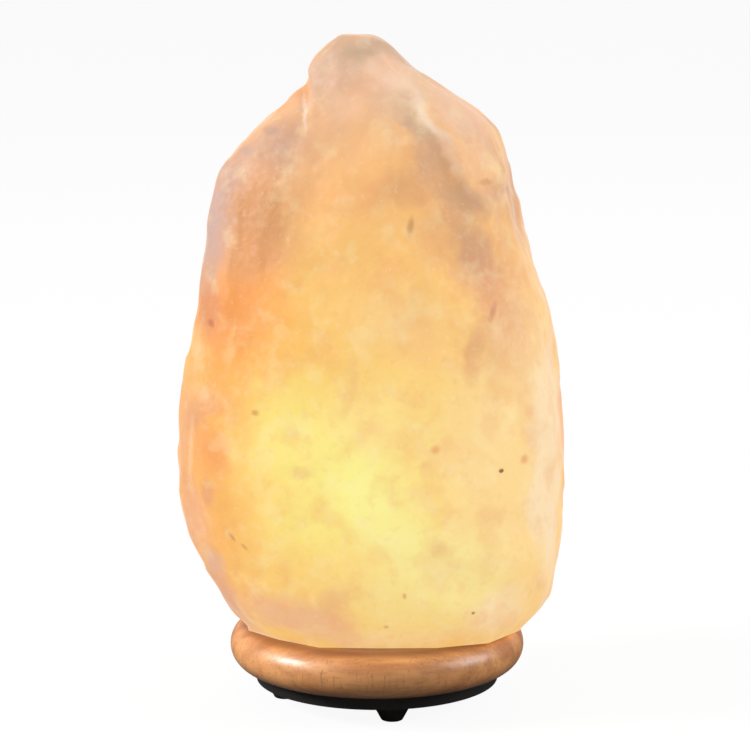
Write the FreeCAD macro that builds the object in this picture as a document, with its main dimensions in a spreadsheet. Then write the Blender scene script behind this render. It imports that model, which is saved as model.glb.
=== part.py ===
import FreeCAD, Part
import os
from math import pi, sin

import Sketcher
from FreeCAD import Placement, Rotation, Vector

# A salt crystal lamp: a hewn block of rock salt, drilled from below, stands on
# a turned beech base. A moulded plate with four rubber feet closes the base,
# and a lampholder on a pull-out cap holds a small screw-in bulb inside the
# crystal. Millimetres, +Z up. The origin is on the table, on the base's axis,
# and the front of the lamp faces -Y.

# Every driving size, in millimetres, with angles in degrees.
SIZES = {
    # rubber feet, four on a circle that is turned a little from the axes
    "foot_height": 6.2,
    "foot_radius": 6.0,
    "foot_tip_radius": 3.6,
    "foot_taper_height": 4.5,
    "foot_tip_rounding": 0.8,
    "foot_cap_gap": 0.5,
    "foot_pattern_turn": 9.0,
    "foot_screw_recess_radius": 2.2,
    "foot_screw_recess_depth": 2.4,
    # moulded plate under the wood
    "plate_radius": 42.0,
    "plate_thickness": 4.5,
    "plate_skin": 2.0,
    "plate_rim_width": 2.2,
    "plate_opening_radius": 23.3,
    "plate_collar_width": 2.5,
    "plate_boss_radius": 5.0,
    "plate_rib_width": 1.6,
    # turned wood base with a full round edge
    "wood_radius": 51.0,
    "wood_thickness": 16.0,
    "bore_radius": 23.0,
    # hewn crystal, and the hollow that is drilled into it for the bulb
    "crystal_height": 202.5,
    "crystal_half_width": 68.6,
    "crystal_half_depth": 57.5,
    "crystal_chip_depth": 1.1,
    "crystal_flake_depth": 2.0,
    "cavity_depth": 76.0,
    "cavity_drill_point": 4.0,
    # screws through plate and wood into plugs in the crystal
    "crystal_screw_radius": 2.0,
    "crystal_screw_head_radius": 3.6,
    "crystal_screw_head_height": 1.9,
    "crystal_screw_length": 38.0,
    "plug_radius": 4.0,
    "plug_bore_wall": 4.0,
    "plug_length": 24.0,
    "plug_slit_width": 0.9,
    "plug_solid_length": 8.0,
    # short screws that hold the feet
    "foot_screw_radius": 1.2,
    "foot_screw_head_radius": 2.0,
    "foot_screw_head_height": 1.2,
    "foot_screw_length": 13.0,
    # cross recess in every screw head
    "recess_length": 2.2,
    "recess_width": 0.5,
    "recess_depth": 0.6,
    # cord inlet bushing at the back of the wood
    "bushing_bore_radius": 3.1,
    "bushing_barrel_radius": 4.2,
    "bushing_barrel_length": 14.0,
    "bushing_collar_radius": 5.8,
    "bushing_collar_length": 2.0,
    "bushing_seat_depth": 2.5,
    # pull-out cap that carries the lampholder
    "cap_flange_lap": 2.6,
    "cap_flange_thickness": 2.0,
    "cap_floor_thickness": 1.5,
    "cap_wall": 2.0,
    # spring clip: a bracket strip with two wings
    "strip_thickness": 0.6,
    "strip_width": 8.0,
    "clip_half_span": 17.0,
    "clip_rise": 14.5,
    "clip_corner": 0.5,
    "wing_straight": 3.0,
    "wing_bend_height": 20.0,
    "wing_height": 32.0,
    "wing_reach": 22.2,
    "wing_tip_reach": 17.6,
    "clip_rivet_radius": 1.5,
    "clip_rivet_head_radius": 3.0,
    "clip_rivet_head_height": 1.0,
    # lampholder body
    "holder_radius": 13.0,
    "holder_flange_radius": 15.8,
    "holder_flange_thickness": 3.0,
    "holder_height": 31.4,
    "chamber_radius": 10.0,
    "chamber_height": 11.9,
    "separator_thickness": 2.5,
    "wire_hole_radius": 3.2,
    "wire_hole_height": 6.0,
    "holder_screw_edge": 2.6,
    "holder_screw_radius": 1.25,
    "holder_screw_head_radius": 2.4,
    "holder_screw_head_height": 1.3,
    "holder_screw_length": 5.2,
    # contacts of the lampholder
    "metal_thickness": 0.4,
    "shell_radius": 6.7,
    "shell_height": 16.0,
    "shell_opening_radius": 3.6,
    "contact_half_length": 2.8,
    "contact_width": 3.0,
    "contact_height": 2.6,
    "contact_tip_reach": 1.6,
    "terminal_thickness": 0.6,
    "terminal_width": 4.0,
    "terminal_reach": 8.6,
    "terminal_drop": 8.0,
    "live_terminal_end": 0.4,
    "neutral_terminal_end": 3.2,
    "terminal_screw_radius": 1.1,
    "terminal_screw_head_radius": 1.9,
    "terminal_screw_head_height": 1.5,
    "terminal_screw_length": 1.6,
    "terminal_screw_drop": 5.5,
    "contact_rivet_radius": 0.6,
    "contact_rivet_head_radius": 0.9,
    "contact_rivet_head_height": 0.4,
    "live_rivet_offset": 1.0,
    "neutral_rivet_offset": 5.0,
    # small screw-in bulb
    "tip_radius": 2.2,
    "tip_height": 1.2,
    "insulator_height": 3.5,
    "insulator_top_radius": 4.6,
    "cap_radius": 5.9,
    "cap_height": 12.3,
    "lead_hole_radius": 0.5,
    "glass_thickness": 0.8,
    "glass_radius": 11.0,
    "glass_neck_radius": 5.2,
    "glass_neck_start": 8.0,
    "glass_shoulder_start": 18.0,
    "glass_shoulder_end": 27.0,
    "glass_length": 60.0,
    "stem_radius": 2.0,
    "stem_flare_radius": 4.2,
    "stem_flare_height": 2.0,
    "stem_start": 9.0,
    "stem_end": 34.0,
    "lead_radius": 0.25,
    "lead_offset": 1.2,
    "filament_height": 46.0,
    "filament_arc_radius": 5.0,
    "filament_coil_radius": 0.35,
    "filament_gap_angle": 5.0,
    "support_radius": 0.12,
    # clearances
    "fit_gap": 0.1,
    "travel_gap": 0.4,
    "contact_gap": 0.1,
    "cut_margin": 2.0,
}

# Hewn outline of the crystal at each level above its sawn foot: the height as
# a share of the whole, and how far it reaches from the base's axis to the left
# and right, and to the front and back, as shares of the greatest half width and
# half depth.
CRYSTAL_REACHES = ("height", "left", "right", "front", "back")
CRYSTAL_LEVELS = (
    (0.000, 0.635, 0.794, 0.690, 0.730),
    (0.035, 0.741, 0.886, 0.783, 0.817),
    (0.079, 0.802, 0.923, 0.870, 0.896),
    (0.138, 0.882, 0.948, 0.939, 0.948),
    (0.207, 0.969, 0.955, 0.983, 0.983),
    (0.286, 1.000, 0.962, 1.000, 1.000),
    (0.370, 0.985, 0.948, 0.991, 0.991),
    (0.454, 0.936, 0.918, 0.965, 0.974),
    (0.533, 0.901, 0.878, 0.922, 0.939),
    (0.617, 0.869, 0.793, 0.870, 0.887),
    (0.701, 0.834, 0.717, 0.809, 0.835),
    (0.780, 0.767, 0.671, 0.722, 0.765),
    (0.844, 0.627, 0.609, 0.617, 0.670),
    (0.884, 0.461, 0.455, 0.504, 0.557),
    (0.923, 0.347, 0.259, 0.365, 0.417),
    (0.963, 0.312, 0.120, 0.270, 0.287),
    (0.985, 0.259, 0.067, 0.209, 0.209),
    (1.000, 0.190, -0.022, 0.122, 0.113),
)

# Corners of the crystal's outline seen from above, anticlockwise, as shares of
# the reaches at each level. The widest corner is behind the axis on the right
# and in front of it on the left.
PLAN_CORNERS = (
    (1.00, 0.36), (0.81, 0.72), (0.46, 0.94), (0.07, 1.00),
    (-0.34, 0.93), (-0.68, 0.75), (-0.89, 0.42), (-0.97, 0.00),
    (-1.00, -0.42), (-0.81, -0.73), (-0.49, -0.92), (-0.10, -1.00),
    (0.30, -0.97), (0.64, -0.80), (0.90, -0.44), (0.97, -0.05),
)

# Steps of the two waves that move neighbouring corners in and out, in radians
# per corner and per level, so that no two facets are alike. The flakes fade out
# at the widest corners, the first and the middle one, which keep their reaches.
CHIP_STEP_ROUND = 2.3
CHIP_STEP_UP = 1.7
FLAKE_STEP_ROUND = 2.9
FLAKE_STEP_UP = -2.6
FLAKE_FADE = 2 * pi / len(PLAN_CORNERS)

# Heights above the table, bottom to top.
PLATE_BOTTOM = "dims.foot_height"
WOOD_BOTTOM = PLATE_BOTTOM + " + dims.plate_thickness"
WOOD_MIDDLE = WOOD_BOTTOM + " + dims.wood_thickness / 2"
CRYSTAL_BOTTOM = WOOD_BOTTOM + " + dims.wood_thickness"
STRIP_BOTTOM = PLATE_BOTTOM + " + dims.cap_floor_thickness"
HOLDER_BOTTOM = STRIP_BOTTOM + " + dims.strip_thickness"
SEPARATOR_BOTTOM = HOLDER_BOTTOM + " + dims.chamber_height"
SEPARATOR_TOP = SEPARATOR_BOTTOM + " + dims.separator_thickness"
BULB_BOTTOM = SEPARATOR_TOP + " + dims.contact_height + dims.contact_gap"
INSULATOR_BOTTOM = BULB_BOTTOM + " + dims.tip_height"
BULB_CAP_BOTTOM = INSULATOR_BOTTOM + " + dims.insulator_height"

# Radii about the axis: the cap's flange, the circle of the feet just outside
# it, and the circle of the crystal's screws just outside the hollow.
CAP_FLANGE_RADIUS = "dims.plate_opening_radius + dims.cap_flange_lap"
FOOT_CIRCLE = "(" + CAP_FLANGE_RADIUS + " + dims.foot_cap_gap + dims.foot_radius)"
CRYSTAL_SCREW_CIRCLE = "(dims.bore_radius + dims.plug_bore_wall + dims.plug_radius)"

FEET = (("foot_right", 0), ("foot_rear", 90), ("foot_left", 180), ("foot_front", 270))
BETWEEN_FEET = 45
SPLIT_ANGLES = (45, 135, 225, 315)

doc = FreeCAD.newDocument("salt_crystal_lamp")
sheet = doc.addObject("Spreadsheet::Sheet", "dims")
nodes = []


# ---------------------------------------------------------------- the sheet

def fill_sheet():
    """Writes each driving size into its own named cell."""
    cells = dict(SIZES)
    for number, level in enumerate(CRYSTAL_LEVELS):
        for word, value in zip(CRYSTAL_REACHES, level):
            cells["level_%02d_%s" % (number, word)] = value
    for row, (name, value) in enumerate(cells.items(), 1):
        sheet.set("A%d" % row, name)
        sheet.set("B%d" % row, str(value))
        sheet.setAlias("B%d" % row, name)
    doc.recompute()


def size(name):
    """The value of one named cell."""
    return float(sheet.get(name))


# ------------------------------------------------------------- small helpers

def bind(thing, **expressions):
    """Ties properties to expressions of the sheet's cells."""
    for name, expression in expressions.items():
        thing.setExpression(name, expression)
    return thing


def place(thing, across="0", deep="0", up="0"):
    """Ties the place of a thing to expressions, along X, Y and Z."""
    for axis, expression in zip("xyz", (across, deep, up)):
        if expression != "0":
            thing.setExpression("Placement.Base." + axis, expression)
    return thing


def polar(radius, angle):
    """Expressions for a point on a circle about the axis, angle in degrees."""
    return "%s * cos(%s)" % (radius, angle), "%s * sin(%s)" % (radius, angle)


def foot_angle(turn):
    """Expression for a direction that turns with the pattern of the feet."""
    return "dims.foot_pattern_turn + %d" % turn


def cylinder(name, radius, height, across="0", deep="0", up="0", turn=None):
    """An upright cylinder, or one turned by (axis, degrees)."""
    rod = doc.addObject("Part::Cylinder", name)
    if turn:
        rod.Placement = Placement(Vector(), Rotation(*turn))
    bind(rod, Radius=radius, Height=height)
    return place(rod, across, deep, up)


def cone(name, low_radius, high_radius, height, across="0", deep="0", up="0"):
    """An upright cone, from its low radius to its high radius."""
    taper = doc.addObject("Part::Cone", name)
    bind(taper, Radius1=low_radius, Radius2=high_radius, Height=height)
    return place(taper, across, deep, up)


def sphere(name, radius, up):
    """A ball on the axis."""
    ball = bind(doc.addObject("Part::Sphere", name), Radius=radius)
    return place(ball, up=up)


def block(name, length, width, height, across="0", deep="0", up="0"):
    """A box whose middle is at across and deep, and whose underside is at up."""
    brick = doc.addObject("Part::Box", name)
    bind(brick, Length=length, Width=width, Height=height)
    return place(
        brick,
        "%s - (%s) / 2" % (across, length),
        "%s - (%s) / 2" % (deep, width),
        up,
    )


def fuse(name, *pieces):
    """Pieces joined into one."""
    joined = doc.addObject("Part::MultiFuse", name)
    joined.Shapes = list(pieces)
    return joined


def cut(name, base, *tools):
    """A piece with the tools taken out of it."""
    left = doc.addObject("Part::Cut", name)
    left.Base = base
    left.Tool = tools[0] if len(tools) == 1 else fuse(name + "_tools", *tools)
    return left


def group(name, pieces):
    """Separate equal pieces that share one node."""
    together = doc.addObject("Part::Compound", name)
    together.Links = list(pieces)
    return together


def node(name, thing):
    """Names a finished piece, which is written to a file of that name."""
    thing.Label = name
    nodes.append(thing)
    return thing


def outline(body, plane, corners):
    """A closed sketch on a base plane of the body, through bound corners."""
    sketch = body.newObject("Sketcher::SketchObject", body.Name + "_outline")
    origin_planes = {face.Role: face for face in body.Origin.OriginFeatures}
    sketch.AttachmentSupport = (origin_planes[plane], [""])
    sketch.MapMode = "FlatFace"
    count = len(corners)
    # The sketch starts as an even ring of corners, and the bound distances
    # from the origin then bring each corner to its place.
    start = [
        Rotation(Vector(0, 0, 1), 360 * i / count).multVec(Vector(1, 0, 0))
        for i in range(count)
    ]
    for i in range(count):
        sketch.addGeometry(Part.LineSegment(start[i], start[(i + 1) % count]), False)
    for i in range(count):
        sketch.addConstraint(Sketcher.Constraint("Coincident", i, 2, (i + 1) % count, 1))
    for i, (across, up) in enumerate(corners):
        for kind, first, expression in (
            ("DistanceX", start[i].x, across),
            ("DistanceY", start[i].y, up),
        ):
            constraint = sketch.addConstraint(Sketcher.Constraint(kind, i, 1, first))
            sketch.setExpression("Constraints[%d]" % constraint, expression)
    return sketch


def turned(name, corners, up="0"):
    """A body turned about Z from an outline of (radius, height) corners."""
    body = doc.addObject("PartDesign::Body", name)
    sketch = outline(body, "XZ_Plane", corners)
    revolution = body.newObject("PartDesign::Revolution", name + "_turned")
    revolution.Profile = sketch
    revolution.ReferenceAxis = (sketch, ["V_Axis"])
    revolution.Angle = 360
    return place(body, up=up)


def folded(name, corners, width, up="0"):
    """A strip folded from sheet: an XZ outline of its edge, padded along Y."""
    body = doc.addObject("PartDesign::Body", name)
    sketch = outline(body, "XZ_Plane", corners)
    pad = body.newObject("PartDesign::Pad", name + "_pad")
    pad.Profile = sketch
    pad.SideType = "Symmetric"
    bind(pad, Length=width)
    return place(body, up=up)


def cross_recess(name, across, deep, up):
    """Two crossed slots that are cut up into a screw head."""
    slots = []
    for word, length, width in (
        ("_along", "dims.recess_length", "dims.recess_width"),
        ("_across", "dims.recess_width", "dims.recess_length"),
    ):
        slots.append(block(name + word, length, width, "dims.recess_depth", across, deep, up))
    return fuse(name, *slots)


def flat_head_screw(name, kind, across, deep, up):
    """A screw that points up, with a cylindrical head below `up`."""
    head_height = "dims.%s_head_height" % kind
    head_bottom = "%s - %s" % (up, head_height)
    head = cylinder(name + "_head", "dims.%s_head_radius" % kind, head_height, across, deep, head_bottom)
    shank = cylinder(name + "_shank", "dims.%s_radius" % kind, "dims.%s_length" % kind, across, deep, up)
    solid = fuse(name + "_solid", head, shank)
    return cut(name, solid, cross_recess(name + "_recess", across, deep, head_bottom))


# --------------------------------------------------------- feet and the plate

def make_feet():
    """Four tapered rubber feet, each with a recess for its screw."""
    screws = []
    for name, turn in FEET:
        across, deep = polar(FOOT_CIRCLE, foot_angle(turn))
        hole = "dims.foot_screw_radius + dims.fit_gap"
        body = turned(name + "_rubber", (
            (hole, "dims.foot_screw_recess_depth"),
            ("dims.foot_screw_recess_radius", "dims.foot_screw_recess_depth"),
            ("dims.foot_screw_recess_radius", "0"),
            ("dims.foot_tip_radius", "0"),
            ("dims.foot_radius", "dims.foot_taper_height"),
            ("dims.foot_radius", "dims.foot_height"),
            (hole, "dims.foot_height"),
        ))
        place(body, across, deep)
        round_tip(body)
        node(name, body)
        screws.append(flat_head_screw(name + "_screw", "foot_screw", across, deep,
                                      "dims.foot_screw_recess_depth"))
    node("foot_screws", group("foot_screw_set", screws))


def round_tip(body):
    """Rounds the edge where the taper of a foot meets its tip."""
    doc.recompute()
    edges = []
    for number, edge in enumerate(body.Shape.Edges, 1):
        is_tip = edge.Curve.TypeId == "Part::GeomCircle" and edge.Curve.Center.z < 1e-6
        if is_tip and abs(edge.Curve.Radius - size("foot_tip_radius")) < 1e-6:
            edges.append("Edge%d" % number)
    taper = body.Tip
    fillet = body.newObject("PartDesign::Fillet", body.Name + "_rounding")
    fillet.Base = (taper, edges)
    bind(fillet, Radius="dims.foot_tip_rounding")


def make_base_plate():
    """The moulded plate: a skin, a rim, a collar, ribs and screw bosses."""
    plate = turned("plate_shell", (
        ("dims.plate_opening_radius", "0"),
        ("dims.plate_radius", "0"),
        ("dims.plate_radius", "dims.plate_thickness"),
        ("dims.plate_radius - dims.plate_rim_width", "dims.plate_thickness"),
        ("dims.plate_radius - dims.plate_rim_width", "dims.plate_skin"),
        ("dims.plate_opening_radius + dims.plate_collar_width", "dims.plate_skin"),
        ("dims.plate_opening_radius + dims.plate_collar_width", "dims.plate_thickness"),
        ("dims.plate_opening_radius", "dims.plate_thickness"),
    ), PLATE_BOTTOM)
    solids = [plate]
    holes = []
    for turn in range(0, 360, BETWEEN_FEET):
        at_foot = turn % (2 * BETWEEN_FEET) == 0
        circle = FOOT_CIRCLE if at_foot else CRYSTAL_SCREW_CIRCLE
        across, deep = polar(circle, foot_angle(turn))
        solids.append(cylinder("plate_boss_%d" % turn, "dims.plate_boss_radius",
                               "dims.plate_thickness", across, deep, PLATE_BOTTOM))
        solids.append(plate_rib(turn + BETWEEN_FEET / 2))
        kind = "foot_screw" if at_foot else "crystal_screw"
        holes.append(cylinder("plate_hole_%d" % turn, "dims.%s_radius + dims.fit_gap" % kind,
                              "dims.plate_thickness", across, deep, PLATE_BOTTOM))
        if not at_foot:
            holes.append(cone("plate_sink_%d" % turn,
                              "dims.crystal_screw_head_radius + dims.fit_gap",
                              "dims.crystal_screw_radius + dims.fit_gap",
                              "dims.crystal_screw_head_height", across, deep, PLATE_BOTTOM))
    node("base_plate", cut("plate_drilled", fuse("plate_solid", *solids), *holes))


def plate_rib(angle):
    """A low wall from the plate's collar to its rim."""
    start = "(dims.plate_opening_radius + dims.plate_collar_width / 2)"
    length = "dims.plate_radius - dims.plate_rim_width / 2 - " + start
    name = "plate_rib_%d" % (angle * 10)
    rib = doc.addObject("Part::Box", name)
    bind(rib, Length=length, Width="dims.plate_rib_width", Height="dims.plate_thickness")
    rib.Placement = Placement(Vector(), Rotation(Vector(0, 0, 1), angle))
    turn = "(dims.foot_pattern_turn + %s)" % angle
    bind(rib, **{"Placement.Rotation.Angle": turn})
    half = "dims.plate_rib_width / 2"
    return place(
        rib,
        "%s * cos(%s) + %s * sin(%s)" % (start, turn, half, turn),
        "%s * sin(%s) - %s * cos(%s)" % (start, turn, half, turn),
        PLATE_BOTTOM,
    )


# ------------------------------------------------- wood, crystal and fastening

def make_wood_base():
    """A turned ring with a full round edge, drilled for screws and cord."""
    half = "dims.wood_thickness / 2"
    core = cylinder("wood_core", "dims.wood_radius - " + half, "dims.wood_thickness", up=WOOD_BOTTOM)
    edge = doc.addObject("Part::Torus", "wood_round_edge")
    bind(edge, Radius1="dims.wood_radius - " + half, Radius2=half)
    place(edge, up=WOOD_MIDDLE)
    tools = [cylinder("wood_bore", "dims.bore_radius", "dims.wood_thickness + 2 * dims.cut_margin",
                      up=WOOD_BOTTOM + " - dims.cut_margin")]
    for turn in range(0, 360, BETWEEN_FEET):
        at_foot = turn % (2 * BETWEEN_FEET) == 0
        circle = FOOT_CIRCLE if at_foot else CRYSTAL_SCREW_CIRCLE
        across, deep = polar(circle, foot_angle(turn))
        if at_foot:
            depth = "dims.foot_screw_recess_depth + dims.foot_screw_length"
            depth += " + dims.fit_gap - (%s)" % WOOD_BOTTOM
            tools.append(cylinder("wood_pilot_%d" % turn, "dims.foot_screw_radius + dims.fit_gap",
                                  depth, across, deep, WOOD_BOTTOM))
        else:
            tools.append(cylinder("wood_hole_%d" % turn, "dims.crystal_screw_radius + dims.fit_gap",
                                  "dims.wood_thickness", across, deep, WOOD_BOTTOM))
    backward = (Vector(1, 0, 0), -90)
    seat = "dims.wood_radius - dims.bushing_seat_depth"
    tools.append(cylinder("wood_cord_hole", "dims.bushing_barrel_radius + dims.fit_gap",
                          seat + " - dims.bore_radius + dims.cut_margin",
                          deep="dims.bore_radius - dims.cut_margin", up=WOOD_MIDDLE, turn=backward))
    tools.append(cylinder("wood_cord_seat", "dims.bushing_collar_radius + dims.fit_gap",
                          "dims.bushing_seat_depth + dims.cut_margin",
                          deep=seat, up=WOOD_MIDDLE, turn=backward))
    node("wood_base", cut("wood_drilled", fuse("wood_blank", core, edge), *tools))


def make_cord_bushing():
    """The collared bushing that the mains lead passes through, at the back."""
    backward = (Vector(1, 0, 0), -90)
    seat = "dims.wood_radius - dims.bushing_seat_depth"
    start = seat + " - dims.bushing_barrel_length"
    barrel = cylinder("bushing_barrel", "dims.bushing_barrel_radius", "dims.bushing_barrel_length",
                      deep=start, up=WOOD_MIDDLE, turn=backward)
    collar = cylinder("bushing_collar", "dims.bushing_collar_radius", "dims.bushing_collar_length",
                      deep=seat, up=WOOD_MIDDLE, turn=backward)
    bore = cylinder("bushing_bore", "dims.bushing_bore_radius",
                    "dims.bushing_barrel_length + dims.bushing_collar_length",
                    deep=start, up=WOOD_MIDDLE, turn=backward)
    node("cord_bushing", cut("bushing", fuse("bushing_blank", barrel, collar), bore))


def crystal_section(number):
    """The closed outline of the crystal at one level."""
    share, left, right, front, back = [
        size("level_%02d_%s" % (number, word)) for word in CRYSTAL_REACHES
    ]
    half_width = size("crystal_half_width")
    half_depth = size("crystal_half_depth")
    foot = size("foot_height") + size("plate_thickness") + size("wood_thickness")
    middle = Vector(
        half_width * (right - left) / 2,
        half_depth * (back - front) / 2,
        foot + size("crystal_height") * share,
    )
    corners = []
    for turn, (across, deep) in enumerate(PLAN_CORNERS):
        spoke = Vector(
            across * half_width * (right + left) / 2,
            deep * half_depth * (back + front) / 2,
            0,
        )
        chip = size("crystal_chip_depth") * sin(CHIP_STEP_ROUND * turn + CHIP_STEP_UP * number)
        flake = size("crystal_flake_depth") * sin(FLAKE_STEP_ROUND * turn + FLAKE_STEP_UP * number)
        struck = chip + flake * sin(FLAKE_FADE * turn) ** 2
        corners.append(middle + spoke * (1 - struck / spoke.Length))
    return Part.makePolygon(corners + corners[:1])


def make_crystal():
    """The hewn block, with the bulb's hollow and the plug holes drilled in."""
    hewn = doc.addObject("Part::Feature", "crystal_hewn")
    sections = [crystal_section(number) for number in range(len(CRYSTAL_LEVELS))]
    hewn.Shape = Part.makeLoft(sections, True, True)
    tools = [
        cylinder("cavity_bore", "dims.bore_radius", "dims.cavity_depth", up=CRYSTAL_BOTTOM),
        cone("cavity_end", "dims.bore_radius", "0", "dims.cavity_drill_point",
             up=CRYSTAL_BOTTOM + " + dims.cavity_depth"),
    ]
    for turn in SPLIT_ANGLES:
        across, deep = polar(CRYSTAL_SCREW_CIRCLE, foot_angle(turn))
        tools.append(cylinder("plug_hole_%d" % turn, "dims.plug_radius + dims.fit_gap",
                              "dims.plug_length + dims.fit_gap", across, deep, CRYSTAL_BOTTOM))
    node("salt_crystal", cut("crystal_drilled", hewn, *tools))


def make_crystal_fastening():
    """Four countersunk screws and the split plugs that they spread."""
    screws = []
    plugs = []
    for turn in SPLIT_ANGLES:
        across, deep = polar(CRYSTAL_SCREW_CIRCLE, foot_angle(turn))
        name = "crystal_screw_%d" % turn
        head = cone(name + "_head", "dims.crystal_screw_head_radius", "dims.crystal_screw_radius",
                    "dims.crystal_screw_head_height", across, deep, PLATE_BOTTOM)
        shank = cylinder(name + "_shank", "dims.crystal_screw_radius", "dims.crystal_screw_length",
                         across, deep, PLATE_BOTTOM)
        recess = cross_recess(name + "_recess", across, deep, PLATE_BOTTOM)
        screws.append(cut(name, fuse(name + "_solid", head, shank), recess))
        sleeve = cylinder("plug_sleeve_%d" % turn, "dims.plug_radius", "dims.plug_length",
                          across, deep, CRYSTAL_BOTTOM)
        bore = cylinder("plug_bore_%d" % turn, "dims.crystal_screw_radius + dims.fit_gap",
                        "dims.plug_length", across, deep, CRYSTAL_BOTTOM)
        slit = block("plug_slit_%d" % turn, "2 * dims.plug_radius", "dims.plug_slit_width",
                     "dims.plug_length - dims.plug_solid_length", across, deep,
                     CRYSTAL_BOTTOM + " + dims.plug_solid_length")
        plugs.append(cut("plug_%d" % turn, sleeve, bore, slit))
    node("crystal_screws", group("crystal_screw_set", screws))
    node("crystal_plugs", group("crystal_plug_set", plugs))


# ------------------------------------------------- cap, clip and lampholder

def holder_screw_places():
    """Where the two holder screws stand: in front of the axis and behind it."""
    circle = "(dims.holder_flange_radius - dims.holder_screw_edge)"
    return (("front", "-" + circle), ("rear", circle))


def make_carrier_cap():
    """The pull-out cap: a flange under the plate and a low wall inside it."""
    rivet_hole = "dims.clip_rivet_radius + dims.fit_gap"
    rivet_recess = "dims.clip_rivet_head_radius + dims.fit_gap"
    recess_top = "-dims.cap_flange_thickness + dims.clip_rivet_head_height + 2 * dims.fit_gap"
    wall = "dims.plate_opening_radius - dims.travel_gap"
    blank = turned("cap_blank", (
        (rivet_recess, "-dims.cap_flange_thickness"),
        (CAP_FLANGE_RADIUS, "-dims.cap_flange_thickness"),
        (CAP_FLANGE_RADIUS, "0"),
        (wall, "0"),
        (wall, "dims.plate_thickness"),
        (wall + " - dims.cap_wall", "dims.plate_thickness"),
        (wall + " - dims.cap_wall", "dims.cap_floor_thickness"),
        (rivet_hole, "dims.cap_floor_thickness"),
        (rivet_hole, recess_top),
        (rivet_recess, recess_top),
    ), PLATE_BOTTOM)
    tools = []
    underside = PLATE_BOTTOM + " - dims.cap_flange_thickness"
    for word, deep in holder_screw_places():
        tools.append(cylinder("cap_screw_hole_" + word, "dims.holder_screw_radius + dims.fit_gap",
                              "dims.cap_flange_thickness + dims.cap_floor_thickness",
                              deep=deep, up=underside))
        tools.append(cylinder("cap_screw_sink_" + word, "dims.holder_screw_head_radius + dims.fit_gap",
                              "dims.holder_screw_head_height + dims.fit_gap", deep=deep, up=underside))
    node("carrier_cap", cut("cap_drilled", blank, *tools))


def make_holder_screws():
    """Two screws from below, through the cap into the lampholder's flange."""
    seat = PLATE_BOTTOM + " - dims.cap_flange_thickness + dims.holder_screw_head_height + dims.fit_gap"
    screws = []
    for word, deep in holder_screw_places():
        screws.append(flat_head_screw("holder_screw_" + word, "holder_screw", "0", deep, seat))
    node("holder_screws", group("holder_screw_set", screws))


def make_clip():
    """The spring clip: a U strip riveted to the cap, with a wing on each end."""
    outer = "dims.clip_half_span"
    inner = "(dims.clip_half_span - dims.strip_thickness)"
    thick = "dims.strip_thickness"
    corner = "dims.clip_corner"
    blank = folded("bracket_blank", (
        ("-" + outer, "dims.clip_rise"),
        ("-" + outer, corner),
        (corner + " - " + outer, "0"),
        (outer + " - " + corner, "0"),
        (outer, corner),
        (outer, "dims.clip_rise"),
        (inner, "dims.clip_rise"),
        (inner, corner + " + " + thick),
        (inner + " - " + corner, thick),
        (corner + " - " + inner, thick),
        ("-" + inner, corner + " + " + thick),
        ("-" + inner, "dims.clip_rise"),
    ), "dims.strip_width", STRIP_BOTTOM)
    hole = cylinder("bracket_hole", "dims.clip_rivet_radius + dims.fit_gap", "dims.strip_thickness",
                    up=STRIP_BOTTOM)
    node("clip_bracket", cut("bracket", blank, hole))
    for name, sign in (("clip_wing_left", "-"), ("clip_wing_right", "")):
        side = [(sign + reach, height) for reach, height in (
            (outer, "0"),
            (outer, "dims.wing_straight"),
            ("dims.wing_reach", "dims.wing_bend_height"),
            ("dims.wing_tip_reach", "dims.wing_height"),
            ("(dims.wing_tip_reach - dims.strip_thickness)", "dims.wing_height"),
            ("(dims.wing_reach - dims.strip_thickness)", "dims.wing_bend_height"),
            (inner, "dims.wing_straight"),
            (inner, "0"),
        )]
        node(name, folded(name + "_strip", side, "dims.strip_width",
                          STRIP_BOTTOM + " + dims.clip_rise"))


def rivet(name, kind, across, up, grip):
    """A rivet with two flat heads, whose grip starts at `up`."""
    head_radius = "dims.%s_head_radius" % kind
    head_height = "dims.%s_head_height" % kind
    return fuse(
        name,
        cylinder(name + "_low_head", head_radius, head_height, across, up="%s - %s" % (up, head_height)),
        cylinder(name + "_shank", "dims.%s_radius" % kind, grip, across, up=up),
        cylinder(name + "_high_head", head_radius, head_height, across, up="%s + %s" % (up, grip)),
    )


def make_clip_rivet():
    """The rivet that holds the clip's strip to the cap."""
    low = PLATE_BOTTOM + " - dims.cap_flange_thickness + dims.clip_rivet_head_height + 2 * dims.fit_gap"
    grip = "(dims.cap_flange_thickness - dims.clip_rivet_head_height - 2 * dims.fit_gap"
    grip += " + dims.cap_floor_thickness + dims.strip_thickness)"
    node("clip_rivet", rivet("clip_rivet_solid", "clip_rivet", "0", low, grip))


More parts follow.
